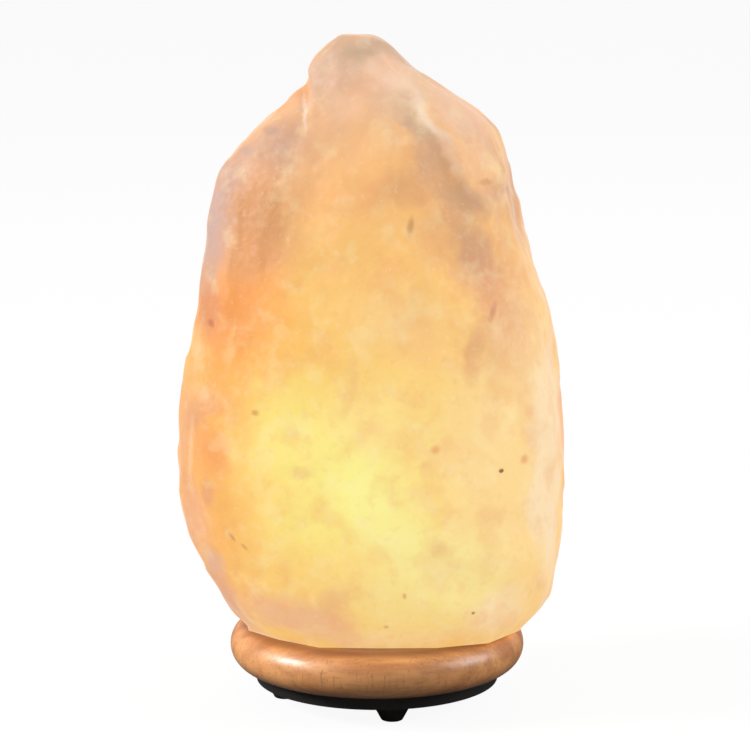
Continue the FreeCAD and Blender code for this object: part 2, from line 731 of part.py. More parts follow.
def make_holder_body():
    """The lampholder: a socket above, a wiring chamber below, a wall between."""
    bore = "dims.shell_radius + 3 * dims.fit_gap"
    top = "dims.chamber_height + dims.separator_thickness"
    blank = turned("holder_blank", (
        ("dims.chamber_radius", "0"),
        ("dims.holder_flange_radius", "0"),
        ("dims.holder_flange_radius", "dims.holder_flange_thickness"),
        ("dims.holder_radius", "dims.holder_flange_thickness"),
        ("dims.holder_radius", "dims.holder_height"),
        (bore, "dims.holder_height"),
        (bore, top),
        ("0", top),
        ("0", "dims.chamber_height"),
        ("dims.chamber_radius", "dims.chamber_height"),
    ), HOLDER_BOTTOM)
    tools = [cylinder("holder_wire_hole", "dims.wire_hole_radius", "dims.holder_radius",
                      deep="dims.chamber_radius - dims.cut_margin",
                      up=HOLDER_BOTTOM + " + dims.wire_hole_height", turn=(Vector(1, 0, 0), -90))]
    for word, across in rivet_places():
        tools.append(cylinder("holder_rivet_hole_" + word, "dims.contact_rivet_radius + dims.fit_gap / 2",
                              "dims.separator_thickness", across, up=SEPARATOR_BOTTOM))
    for word, deep in holder_screw_places():
        tools.append(cylinder("holder_screw_hole_" + word, "dims.holder_screw_radius + dims.fit_gap",
                              "dims.holder_flange_thickness", deep=deep, up=HOLDER_BOTTOM))
    node("holder_body", cut("holder_drilled", blank, *tools))


def rivet_places():
    """Where the rivets of the two contacts stand along X."""
    return (("live", "-dims.live_rivet_offset"), ("neutral", "dims.neutral_rivet_offset"))


def make_contacts():
    """The screw shell, the centre contact, and the terminals below them."""
    inner = "dims.shell_radius - dims.metal_thickness"
    shell = turned("shell_blank", (
        ("dims.shell_opening_radius", "0"),
        ("dims.shell_radius", "0"),
        ("dims.shell_radius", "dims.shell_height"),
        (inner, "dims.shell_height"),
        (inner, "dims.metal_thickness"),
        ("dims.shell_opening_radius", "dims.metal_thickness"),
    ), SEPARATOR_TOP)
    hole_radius = "dims.contact_rivet_radius + dims.fit_gap / 2"
    shell_hole = cylinder("shell_hole", hole_radius, "dims.metal_thickness",
                          "dims.neutral_rivet_offset", up=SEPARATOR_TOP)
    node("screw_shell", cut("shell", shell, shell_hole))

    reach = "dims.contact_half_length"
    thick = "dims.metal_thickness"
    tongue = folded("tongue_blank", (
        ("-" + reach, "0"),
        (reach, "0"),
        (reach, "2.5 * " + thick),
        ("-dims.contact_tip_reach", "dims.contact_height"),
        ("-dims.contact_tip_reach", "dims.contact_height - " + thick),
        (reach + " - " + thick, "1.8 * " + thick),
        (reach + " - " + thick, thick),
        ("-" + reach, thick),
    ), "dims.contact_width", SEPARATOR_TOP)
    tongue_hole = cylinder("tongue_hole", hole_radius, "dims.metal_thickness",
                           "-dims.live_rivet_offset", up=SEPARATOR_TOP)
    node("centre_contact", cut("tongue", tongue, tongue_hole))

    rivets = []
    screws = []
    for word, sign, end, offset in (
        ("live", "-", "-dims.live_terminal_end", "-dims.live_rivet_offset"),
        ("neutral", "", "dims.neutral_terminal_end", "dims.neutral_rivet_offset"),
    ):
        make_terminal(word, sign, end, offset, hole_radius)
        rivets.append(rivet("contact_rivet_" + word, "contact_rivet", offset,
                            SEPARATOR_BOTTOM + " - dims.terminal_thickness",
                            "(dims.terminal_thickness + dims.separator_thickness + dims.metal_thickness)"))
        screws.append(terminal_screw(word, sign))
    node("contact_rivets", group("contact_rivet_set", rivets))
    node("terminal_screws", group("terminal_screw_set", screws))


def make_terminal(word, sign, end, offset, hole_radius):
    """An angle of brass under the separator, with a leg for the wire screw."""
    reach = "dims.terminal_reach"
    leg = sign + "(dims.terminal_reach - dims.terminal_thickness)"
    blank = folded(word + "_terminal_blank", (
        (sign + reach, "-dims.terminal_drop"),
        (sign + reach, "0"),
        (end, "0"),
        (end, "-dims.terminal_thickness"),
        (leg, "-dims.terminal_thickness"),
        (leg, "-dims.terminal_drop"),
    ), "dims.terminal_width", SEPARATOR_BOTTOM)
    rivet_hole = cylinder(word + "_terminal_hole", hole_radius, "dims.terminal_thickness", offset,
                          up=SEPARATOR_BOTTOM + " - dims.terminal_thickness")
    screw_hole = cylinder(word + "_terminal_screw_hole", "dims.terminal_screw_radius + dims.fit_gap / 2",
                          "dims.terminal_thickness", leg,
                          up=SEPARATOR_BOTTOM + " - dims.terminal_screw_drop", turn=outward(sign))
    node(word + "_terminal", cut(word + "_terminal_drilled", blank, rivet_hole, screw_hole))


def outward(sign):
    """The turn that points a cylinder away from the axis along X."""
    return (Vector(0, 1, 0), -90 if sign else 90)


def terminal_screw(word, sign):
    """A wire screw: its head faces the axis and its shank crosses the leg."""
    name = "terminal_screw_" + word
    leg = sign + "(dims.terminal_reach - dims.terminal_thickness)"
    inside = sign + "(dims.terminal_reach - dims.terminal_thickness - dims.terminal_screw_head_height)"
    height = SEPARATOR_BOTTOM + " - dims.terminal_screw_drop"
    head = cylinder(name + "_head", "dims.terminal_screw_head_radius", "dims.terminal_screw_head_height",
                    inside, up=height, turn=outward(sign))
    shank = cylinder(name + "_shank", "dims.terminal_screw_radius", "dims.terminal_screw_length",
                     leg, up=height, turn=outward(sign))
    return fuse(name, head, shank)


# ------------------------------------------------------------------ the bulb

def make_bulb_base():
    """The tip, the glass insulator and the brass cap that screws in."""
    solder = cylinder("tip_solder", "dims.tip_radius", "dims.tip_height", up=BULB_BOTTOM)
    node("tip_contact", solder)
    lead = "-dims.lead_offset"
    insulator = cone("insulator_blank", "dims.tip_radius", "dims.insulator_top_radius",
                     "dims.insulator_height", up=INSULATOR_BOTTOM)
    insulator_hole = cylinder("insulator_hole", "dims.lead_hole_radius", "dims.insulator_height",
                              lead, up=INSULATOR_BOTTOM)
    node("cap_insulator", cut("insulator", insulator, insulator_hole))
    outer = cylinder("cap_outer", "dims.cap_radius", "dims.cap_height", up=BULB_CAP_BOTTOM)
    inner = cylinder("cap_inner", "dims.cap_radius - dims.metal_thickness",
                     "dims.cap_height - dims.metal_thickness",
                     up=BULB_CAP_BOTTOM + " + dims.metal_thickness")
    cap_hole = cylinder("cap_hole", "dims.lead_hole_radius", "dims.metal_thickness",
                        lead, up=BULB_CAP_BOTTOM)
    node("bulb_cap", cut("cap_shell", outer, inner, cap_hole))


def envelope(name, shrink):
    """The bulb's shape, made smaller all round by `shrink`: a neck, a
    shoulder cone, a straight wall and a round top."""
    neck = "dims.glass_neck_radius - (%s)" % shrink
    wide = "dims.glass_radius - (%s)" % shrink
    start = BULB_BOTTOM + " + dims.glass_neck_start"
    shoulder = BULB_BOTTOM + " + dims.glass_shoulder_start"
    end = BULB_BOTTOM + " + dims.glass_shoulder_end"
    centre = BULB_BOTTOM + " + dims.glass_length - dims.glass_radius"
    return fuse(
        name,
        cylinder(name + "_neck", neck, "dims.glass_shoulder_start - dims.glass_neck_start", up=start),
        cone(name + "_shoulder", neck, wide, "dims.glass_shoulder_end - dims.glass_shoulder_start",
             up=shoulder),
        cylinder(name + "_wall", wide,
                 "dims.glass_length - dims.glass_radius - dims.glass_shoulder_end", up=end),
        sphere(name + "_top", wide, centre),
    )


def make_bulb_glass():
    """The clear envelope and the glass stem that rises inside its neck."""
    node("bulb_glass", cut("envelope", envelope("glass_outside", "0"),
                           envelope("glass_inside", "dims.glass_thickness")))
    start = BULB_BOTTOM + " + dims.stem_start"
    rod = cylinder("stem_rod", "dims.stem_radius", "dims.stem_end - dims.stem_start", up=start)
    flare = cylinder("stem_flare", "dims.stem_flare_radius", "dims.stem_flare_height", up=start)
    holes = []
    for word, across in lead_sides():
        holes.append(cylinder("stem_hole_" + word, "dims.lead_radius + dims.fit_gap / 2",
                              "dims.stem_end - dims.stem_start", across, up=start))
    node("bulb_stem", cut("stem", fuse("stem_blank", rod, flare), *holes))


def lead_sides():
    """Where the two lead wires stand along X."""
    return (("left", "-dims.lead_offset"), ("right", "dims.lead_offset"))


def make_bulb_leads():
    """Two wires: up from the tip or the cap, through the stem, then spread
    out to the ends of the filament."""
    wires = []
    for word, sign, bottom in (
        ("left", "-", INSULATOR_BOTTOM),
        ("right", "", BULB_CAP_BOTTOM + " + dims.metal_thickness"),
    ):
        across = sign + "dims.lead_offset"
        knee = BULB_BOTTOM + " + dims.stem_end + 2 * dims.lead_radius"
        spread = "(dims.filament_arc_radius - dims.lead_offset)"
        climb = "(dims.filament_height - dims.stem_end - 2 * dims.lead_radius)"
        straight = cylinder("lead_straight_" + word, "dims.lead_radius",
                            "%s - (%s)" % (knee, bottom), across, up=bottom)
        bend = place(bind(doc.addObject("Part::Sphere", "lead_bend_" + word), Radius="dims.lead_radius"),
                     across, up=knee)
        slant = cylinder("lead_slant_" + word, "dims.lead_radius",
                         "sqrt(%s ^ 2 + %s ^ 2)" % (spread, climb), across, up=knee,
                         turn=(Vector(0, -1 if sign else 1, 0), 1))
        bind(slant, **{"Placement.Rotation.Angle": "atan(%s / %s)" % (spread, climb)})
        wires.append(fuse("lead_" + word, straight, bend, slant))
    node("bulb_leads", group("lead_set", wires))


def make_bulb_filament():
    """The coiled filament, a half ring in front, and its two support wires."""
    level = BULB_BOTTOM + " + dims.filament_height"
    arc = doc.addObject("Part::Torus", "filament_arc")
    arc.Placement = Placement(Vector(), Rotation(Vector(0, 0, 1), 180))
    bind(arc, Radius1="dims.filament_arc_radius", Radius2="dims.filament_coil_radius",
         Angle3="180 - 2 * dims.filament_gap_angle")
    bind(arc, **{"Placement.Rotation.Angle": "180 + dims.filament_gap_angle"})
    place(arc, up=level)
    node("bulb_filament", arc)

    wires = []
    foot = "dims.stem_radius / 2"
    low = BULB_BOTTOM + " + dims.stem_end"
    run = "(dims.filament_arc_radius - %s)" % foot
    climb = "(dims.filament_height - dims.filament_coil_radius - 2 * dims.fit_gap - dims.stem_end)"
    for word, azimuth in (("left", 225), ("right", 315)):
        across, deep = polar("(%s)" % foot, str(azimuth))
        axis = Rotation(Vector(0, 0, 1), azimuth + 90).multVec(Vector(1, 0, 0))
        wire = cylinder("support_wire_" + word, "dims.support_radius",
                        "sqrt(%s ^ 2 + %s ^ 2)" % (run, climb), across, deep,
                        low + " + dims.support_radius", turn=(axis, 1))
        bind(wire, **{"Placement.Rotation.Angle": "atan(%s / %s)" % (run, climb)})
        wires.append(wire)
    node("bulb_supports", group("support_set", wires))


# ------------------------------------------------------------ check and write

def check_document():
    """Stops if any object failed or any piece is empty or broken."""
    doc.recompute()
    for thing in doc.Objects:
        if "Invalid" in thing.State or "Error" in thing.State:
            raise RuntimeError("%s did not compute: %s" % (thing.Name, thing.State))
    for piece in nodes:
        if piece.Shape.isNull() or not piece.Shape.isValid():
            raise RuntimeError("%s has no valid shape" % piece.Label)


def write_parts():
    """Writes each piece to its own file and prints its size."""
    os.makedirs("parts", exist_ok=True)
    for piece in nodes:
        piece.Shape.exportStep("parts/%s.step" % piece.Label)
        box = piece.Shape.BoundBox
        print("%-16s %2d solid(s) %10.1f mm3  z %6.1f to %6.1f" % (
            piece.Label, len(piece.Shape.Solids), piece.Shape.Volume, box.ZMin, box.ZMax))


fill_sheet()
make_feet()
make_base_plate()
make_wood_base()
make_cord_bushing()
make_crystal()
make_crystal_fastening()
make_carrier_cap()
make_holder_screws()
make_clip()
make_clip_rivet()
make_holder_body()
make_contacts()
make_bulb_base()
make_bulb_glass()
make_bulb_leads()
make_bulb_filament()
check_document()
write_parts()
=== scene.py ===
import logging
import math
from collections.abc import Sequence
from dataclasses import dataclass, field
from enum import Enum

import bpy
import numpy as np
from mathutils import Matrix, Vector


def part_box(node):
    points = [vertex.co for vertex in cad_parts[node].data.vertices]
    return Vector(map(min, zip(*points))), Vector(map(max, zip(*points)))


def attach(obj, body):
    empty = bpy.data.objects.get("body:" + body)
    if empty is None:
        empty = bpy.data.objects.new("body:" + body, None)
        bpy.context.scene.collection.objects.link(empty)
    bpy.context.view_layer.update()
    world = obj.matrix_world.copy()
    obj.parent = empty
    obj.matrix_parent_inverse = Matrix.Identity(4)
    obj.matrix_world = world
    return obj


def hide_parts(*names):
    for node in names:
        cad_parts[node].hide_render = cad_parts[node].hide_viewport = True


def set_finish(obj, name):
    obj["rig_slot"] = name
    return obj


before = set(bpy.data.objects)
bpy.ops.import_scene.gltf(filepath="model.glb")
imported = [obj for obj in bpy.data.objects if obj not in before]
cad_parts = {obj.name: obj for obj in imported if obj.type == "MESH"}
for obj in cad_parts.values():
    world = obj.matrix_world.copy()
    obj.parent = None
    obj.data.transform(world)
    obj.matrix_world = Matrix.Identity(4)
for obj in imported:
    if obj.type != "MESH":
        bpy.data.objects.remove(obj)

# A salt crystal lamp that is lit from inside: a hewn block of rock salt on a
# turned beech base, over a small screw-in bulb. Sizes are in millimetres and
# meshes in metres, in the frame of the solids, with the front towards -Y.

MM = 0.001
FULL_TURN = 2 * math.pi
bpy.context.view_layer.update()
REPORT = logging.getLogger("lamp")
WHITE = (1.0, 1.0, 1.0, 1.0)
SMALLEST = 1e-9

Point = tuple[float, float, float]
Socket = bpy.types.NodeSocket
Tree = bpy.types.NodeTree


class Slot(Enum):
    """The materials of the lamp, named as the slots of its solids."""

    ROCK_SALT = "rock_salt"
    BEECH = "beech"
    CLEAR_GLASS = "clear_glass"
    TUNGSTEN = "tungsten"
    BLACK_PLASTIC = "black_plastic"
    BLACK_RUBBER = "black_rubber"
    ZINC_STEEL = "zinc_steel"
    SPRING_STEEL = "spring_steel"
    NYLON = "nylon"
    PHENOLIC = "phenolic"
    BRASS = "brass"
    SOLDER = "solder"
    BLACK_GLASS = "black_glass"
    NICKEL_WIRE = "nickel_wire"


# ---------------- surfaces

def surface_object(name: str, points: np.ndarray, crease: float = 35.0) -> bpy.types.Object:
    """Makes a closed mesh from a grid of points.

    Rows run along a profile and columns run anticlockwise about it, so each
    face turns its front to the outside. A face joins a point to the next row
    and column. The first and last row are drawn together in one vertex each,
    which come last in the mesh.

    Args:
        name: Name of the object.
        points: Rows by columns by three, in millimetres.
        crease: Edges that turn by more than this angle, in degrees, are sharp.

    Returns:
        The new object, at the origin.
    """
    rows, columns = points.shape[:2]
    across = np.arange(columns)
    after = np.roll(across, -1)
    first = columns * np.arange(rows - 3)[:, None]
    second = first + columns
    quads = np.stack([first + across, second + across, second + after, first + after], axis=-1)
    last = columns * (rows - 3)
    pole = np.full(columns, last + columns)
    caps = np.vstack([
        np.stack([pole, across, after], axis=-1),
        np.stack([last + across, pole + 1, last + after], axis=-1),
    ])
    vertices = np.vstack([points[1:-1].reshape(-1, 3), points[0].mean(0), points[-1].mean(0)])
    mesh = bpy.data.meshes.new(name)
    mesh.from_pydata((vertices * MM).tolist(), [], quads.reshape(-1, 4).tolist() + caps.tolist())
    mesh.polygons.foreach_set("use_smooth", np.ones(len(mesh.polygons), bool))
    mesh.set_sharp_from_angle(angle=math.radians(crease))
    made = bpy.data.objects.new(name, mesh)
    bpy.context.scene.collection.objects.link(made)
    return made


def turned(profile: np.ndarray, columns: int) -> np.ndarray:
    """Carries a profile round the upright axis.

    Point (row, column) is radius * (cos turn, sin turn) at the row's height,
    with the turn growing evenly from column to column.

    Args:
        profile: Rows of (radius, height), in millimetres. The radius may also
            be given for each column, as rows by columns by two.
        columns: Number of steps round the axis.

    Returns:
        Rows by columns by three, in millimetres.
    """
    turn = FULL_TURN * np.arange(columns) / columns
    if profile.ndim == 2:
        profile = profile[:, None]
    radius, height = profile[..., 0], profile[..., 1]
    return np.stack([radius * np.cos(turn), radius * np.sin(turn), height + 0 * turn], axis=-1)


def arc(centre: tuple[float, float], radius: float, start: float, end: float, steps: int) -> np.ndarray:
    """Points of a circular arc in a profile: centre + radius * (cos, sin).

    Args:
        centre: (radius, height) of the arc's centre.
        radius: The arc's own radius.
        start: First angle, in degrees.
        end: Last angle, in degrees.
        steps: Number of points, both ends included.

    Returns:
        Rows of (radius, height).
    """
    angle = np.radians(np.linspace(start, end, steps))[:, None]
    return np.array(centre) + radius * np.hstack([np.cos(angle), np.sin(angle)])


def swept(path: np.ndarray, reference: np.ndarray, radius: float, sides: int) -> np.ndarray:
    """Carries a small circle along a path.

    The circle stands in the plane of two vectors: the path's tangent crossed
    with the reference, and the tangent crossed with that.

    Args:
        path: Points of the path, rows of three, in millimetres.
        reference: For each point, a direction that the path never follows.
        radius: Radius of the circle.
        sides: Number of points on the circle.

    Returns:
        Rows by sides by three, with a closing row at both ends.
    """
    tangent = np.gradient(path, axis=0)
    tangent /= np.linalg.norm(tangent, axis=1, keepdims=True)
    aside = np.cross(tangent, reference)
    aside /= np.linalg.norm(aside, axis=1, keepdims=True)
    upward = np.cross(tangent, aside)
    turn = -FULL_TURN * np.arange(sides)[None, :, None] / sides
    tube = path[:, None] + radius * (aside[:, None] * np.cos(turn) + upward[:, None] * np.sin(turn))
    ends = [np.repeat(end[:, None], sides, axis=1) for end in (path[:1], path[-1:])]
    return np.concatenate([ends[0], tube, ends[1]])


# ---------------- relief

CELL_PRIMES = np.array([73856093, 19349663, 83492791])
SALT_PRIME = 40503517
WORD = 0xFFFFFFFF
STIR_ONE = 0x2C1B3C6D
STIR_TWO = 0x297A2D39
STIR_SHIFT = 15


def cell_random(cells: np.ndarray, salt: int) -> np.ndarray:
    """A fixed number from 0 to 1 for each whole-number cell.

    The cell's three numbers are multiplied by large primes, joined by
    exclusive-or and stirred twice, so neighbouring cells have unlike numbers.

    Args:
        cells: Whole numbers, with three in the last axis.
        salt: Chooses one of many such fields.

    Returns:
        One number for each cell.
    """
    mixed = cells.astype(np.int64) * CELL_PRIMES
    key = (mixed[..., 0] ^ mixed[..., 1] ^ mixed[..., 2] ^ (salt + 1) * SALT_PRIME) & WORD
    for stir in (STIR_ONE, STIR_TWO):
        key = ((key ^ (key >> STIR_SHIFT)) * stir) & WORD
    return (key ^ (key >> STIR_SHIFT)) / WORD


def smooth_noise(points: np.ndarray, cell: float, salt: int) -> np.ndarray:
    """Soft waves from -1 to 1, with about one swing in each cell.

    The eight random numbers round a point are blended by 3t^2 - 2t^3 of its
    place t between them.

    Args:
        points: Places, with three numbers in the last axis.
        cell: Size of a cell, in the same unit.
        salt: Chooses one of many such fields.

    Returns:
        One number for each place.
    """
    scaled = points / cell
    low = np.floor(scaled)
    part = scaled - low
    part = part * part * (3 - 2 * part)
    total = np.zeros(points.shape[:-1])
    for step in np.ndindex(2, 2, 2):
        share = np.where(np.array(step) == 1, part, 1 - part).prod(axis=-1)
        total += share * cell_random(low + np.array(step), salt)
    return 2 * total - 1


def hewn_chips(points: np.ndarray, cell: float, edge: float, salt: int) -> np.ndarray:
    """Height of a surface that is struck into flat chips, about -1 to 1.

    Each cell holds one chip centre at a random place, with a plane through it
    that tilts at random. The height is the mean of the planes round a point,
    weighed by exp(-edge * distance^2), with the distance in cells.

    Args:
        points: Places, with three numbers in the last axis.
        cell: Mean size of a chip, in the same unit.
        edge: Large for crisp edges between chips, small for soft ones.
        salt: Chooses one of many such fields.

    Returns:
        One height for each place.
    """
    scaled = points / cell
    low = np.floor(scaled)
    heights = np.zeros(points.shape[:-1])
    weights = np.zeros(points.shape[:-1])
    for step in np.ndindex(3, 3, 3):
        home = low + np.array(step) - 1
        away = scaled - home
        tilt = np.empty_like(away)
        for axis in range(3):
            away[..., axis] -= cell_random(home, salt + axis)
            tilt[..., axis] = 2 * cell_random(home, salt + 3 + axis) - 1
        weight = np.exp(-edge * (away ** 2).sum(axis=-1))
        heights += weight * (away * tilt).sum(axis=-1)
        weights += weight
    return heights / weights


def softened(grid: np.ndarray, rows: float, columns: float) -> np.ndarray:
    """Blurs a grid of points with a bell curve, round the columns and along the rows.

    Each point becomes the mean of its neighbours, weighed by
    exp(-step^2 / (2 * spread^2)), and the first and last rows are repeated
    outwards so that the ends stay.

    Args:
        grid: Rows by columns by three.
        rows: Spread along the rows, in grid steps.
        columns: Spread round the columns, in grid steps.

    Returns:
        A grid of the same shape.
    """
    for axis, spread, mode in ((0, rows, "edge"), (1, columns, "wrap")):
        reach = math.ceil(3 * spread)
        weight = np.exp(-np.arange(-reach, reach + 1) ** 2 / (2 * spread ** 2))
        weight /= weight.sum()
        place = np.arange(grid.shape[axis])
        padding = [(0, 0)] * 3
        padding[axis] = (reach, reach)
        padded = np.pad(grid, padding, mode=mode)
        grid = sum(share * np.take(padded, place + i, axis=axis) for i, share in enumerate(weight))
    return grid


# ---------------- materials

# Most of a noise lies between these two values, about its middle.
NOISE_SWING = (0.3, 0.7)
NOISE_MIDDLE = (0.5, 0.5, 0.5)
# Inputs of a colour mix for what is beneath and above, and its result.
MIX_UNDER, MIX_OVER, MIX_RESULT = 6, 7, 2
# A new colour ramp has this many stops.
FIRST_STOPS = 2


def linear(colour: str) -> tuple[float, float, float, float]:
    """Turns an sRGB hex colour into linear light.

    A part of at most 0.04045 is divided by 12.92, and a larger one becomes
    ((part + 0.055) / 1.055)^2.4.

    Args:
        colour: Hex colour, such as "#E3B27E".

    Returns:
        Red, green, blue and a full alpha, from 0 to 1.
    """
    parts = [int(colour[i:i + 2], 16) / 255 for i in (1, 3, 5)]
    red, green, blue = [
        part / 12.92 if part <= 0.04045 else ((part + 0.055) / 1.055) ** 2.4 for part in parts
    ]
    return red, green, blue, 1.0


def per_metre(size: float) -> float:
    """The scale of a pattern whose features are `size` millimetres apart."""
    return 1000 / size


def feed(tree: Tree, node: bpy.types.Node, inputs: dict) -> None:
    """Fills inputs of a node.

    Args:
        tree: The material's node tree.
        node: The node.
        inputs: For each input, by name or number, a value or a socket to link.
    """
    for key, value in inputs.items():
        if isinstance(value, Socket):
            tree.links.new(value, node.inputs[key])
        else:
            node.inputs[key].default_value = value


def add(tree: Tree, kind: str, inputs: dict | None = None,
        stops: Sequence[tuple[float, str]] = (), **settings: object) -> bpy.types.Node:
    """Adds a node to a tree.

    Args:
        tree: The material's node tree.
        kind: Blender's name of the node, without "ShaderNode".
        inputs: For each input, by name or number, a value or a socket to link.
        stops: Places and hex colours of a colour ramp.
        **settings: The node's own settings.

    Returns:
        The new node.
    """
    node = tree.nodes.new("ShaderNode" + kind)
    for name, value in settings.items():
        setattr(node, name, value)
    feed(tree, node, inputs or {})
    for number, (place, colour) in enumerate(stops):
        elements = node.color_ramp.elements
        stop = elements[number] if number < FIRST_STOPS else elements.new(place)
        stop.position = place
        stop.color = linear(colour)
    return node


def eased(low: float, high: float, start: float = 0.0, end: float = 1.0) -> dict:
    """Inputs that ease a value from `start` at `low` to `end` at `high`."""
    return {"From Min": low, "From Max": high, "To Min": start, "To Max": end}


def tinted(tree: Tree, colour: Socket | Sequence[float], tint: str, value: Socket,
           low: float, high: float, strength: float = 1.0, mask: Socket | None = None) -> Socket:
    """Lays a tint over a colour where a value is high.

    Args:
        tree: The material's node tree.
        colour: Colour beneath, as a socket or as linear RGBA.
        tint: Hex colour of the tint.
        value: What decides where the tint lies.
        low: Value at which it sets in.
        high: Value at which it has its strength.
        strength: Greatest share of the tint.
        mask: A factor that holds the tint back, if any.

    Returns:
        The tinted colour's socket.
    """
    share = add(tree, "MapRange", {"Value": value, **eased(low, high, 0.0, strength)},
                interpolation_type="SMOOTHSTEP").outputs[0]
    if mask is not None:
        share = add(tree, "Math", {0: share, 1: mask}, operation="MULTIPLY").outputs[0]
    mix = add(tree, "Mix", {0: share, MIX_UNDER: colour, MIX_OVER: linear(tint)}, data_type="RGBA")
    return mix.outputs[MIX_RESULT]


def worked(tree: Tree, shader: bpy.types.Node, pattern: Socket, sheen: tuple[float, float],
           depth: float, strength: float) -> None:
    """Lets one pattern break up a surface's gloss and raise its grain.

    Args:
        tree: The material's node tree.
        shader: The shader to fill.
        pattern: A noise.
        sheen: Roughness at the low and at the high end of the noise's swing.
        depth: Height of the grain, in millimetres.
        strength: How much of the grain shows.
    """
    roughness = add(tree, "MapRange", {"Value": pattern, **eased(*NOISE_SWING, *sheen)},
                    interpolation_type="SMOOTHSTEP")
    bump = add(tree, "Bump", {"Height": pattern, "Strength": strength, "Distance": depth * MM})
    feed(tree, shader, {"Roughness": roughness.outputs[0], "Normal": bump.outputs[0]})


def pushed(tree: Tree, place: Socket, *waves: tuple[float, float]) -> Socket:
    """Moves coordinates about by clouds of noise, one after the other.

    Args:
        tree: The material's node tree.
        place: Coordinates to move.
        *waves: Size of the noise and greatest move, in millimetres.

    Returns:
        The moved coordinates' socket.
    """
    for size, push in waves:
        noise = add(tree, "TexNoise", {"Vector": place, "Scale": per_metre(size), "Detail": 2.0})
        centred = add(tree, "VectorMath", {0: noise.outputs["Color"], 1: NOISE_MIDDLE},
                      operation="SUBTRACT")
        move = add(tree, "VectorMath", {0: centred.outputs[0], "Scale": push * MM}, operation="SCALE")
        place = add(tree, "VectorMath", {0: place, 1: move.outputs[0]}, operation="ADD").outputs[0]
    return place


def new_material(name: str) -> tuple[bpy.types.Material, Tree, bpy.types.Node]:
    """Makes a material with only its shader and output.

    Args:
        name: Name of the material.

    Returns:
        The material, its node tree and its shader node.
    """
    material = bpy.data.materials.new(name)
    material.use_nodes = True
    tree = material.node_tree
    return material, tree, tree.nodes["Principled BSDF"]


def dress(piece: bpy.types.Object, material: bpy.types.Material) -> None:
    """Gives a piece one material in its first slot.

    Args:
        piece: The piece to dress.
        material: What it is made of.
    """
    if piece.data.materials:
        piece.data.materials[0] = material
    else:
        piece.data.materials.append(material)


@dataclass(frozen=True)
class Veil:
    """A tint that follows a cloud of noise.

    It sets in where the noise is at `start` and has its strength from `full`.
    """

    tint: str
    size: float
    start: float
    full: float
    strength: float

    def over(self, tree: Tree, place: Socket, colour: Socket, mask: Socket | None = None) -> Socket:
        """Lays the veil over a colour.

        Args:
            tree: The material's node tree.
            place: Coordinates in metres.
            colour: Colour beneath.
            mask: A factor that holds the veil back, if any.

        Returns:
            The veiled colour's socket.
        """
        noise = add(tree, "TexNoise", {
            "Vector": place, "Scale": per_metre(self.size), "Detail": 3.0, "W": self.size,
        }, noise_dimensions="4D")
        return tinted(tree, colour, self.tint, noise.outputs["Fac"], self.start, self.full,
                      self.strength, mask)


@dataclass(frozen=True)
class Cloud:
    """A soft-edged patch of another tint in the stone.

    A patch may be the stone's own tint, its glow, painted shade or a painted
    highlight. Centre and radii are in millimetres, with the radii across and
    up, and `depth` is the third one, as a share of the larger of them. `lean`
    turns the patch clockwise as seen from the front, in degrees.
    """

    tint: str
    centre: Point
    radii: tuple[float, float]
    strength: float
    softness: float = 0.7
    lean: float = 0.0
    depth: float = 0.9
    least_depth: float = 12.0

    def over(self, tree: Tree, place: Socket, colour: Socket) -> Socket:
        """Lays the patch over a colour.

        The patch is an ellipsoid. A gradient falls from 1 at its centre to 0
        at 1 + softness times its radii, and the patch eases from nothing there
        to its strength at 1 - softness times its radii.

        Args:
            tree: The material's node tree.
            place: Coordinates in metres.
            colour: Colour beneath.

        Returns:
            The patched colour's socket.
        """
        reach = 1 + self.softness
        across, up = self.radii
        deep = max(self.depth * max(across, up), self.least_depth)
        inside = add(tree, "Mapping", {
            "Vector": place,
            "Location": [part * MM for part in self.centre],
            "Rotation": (0.0, math.radians(self.lean), 0.0),
            "Scale": [part * reach * MM for part in (across, deep, up)],
        }, vector_type="TEXTURE")
        near = add(tree, "TexGradient", {"Vector": inside.outputs[0]}, gradient_type="SPHERICAL")
        return tinted(tree, colour, self.tint, near.outputs["Fac"], 0.0, 2 * self.softness / reach,
                      self.strength)
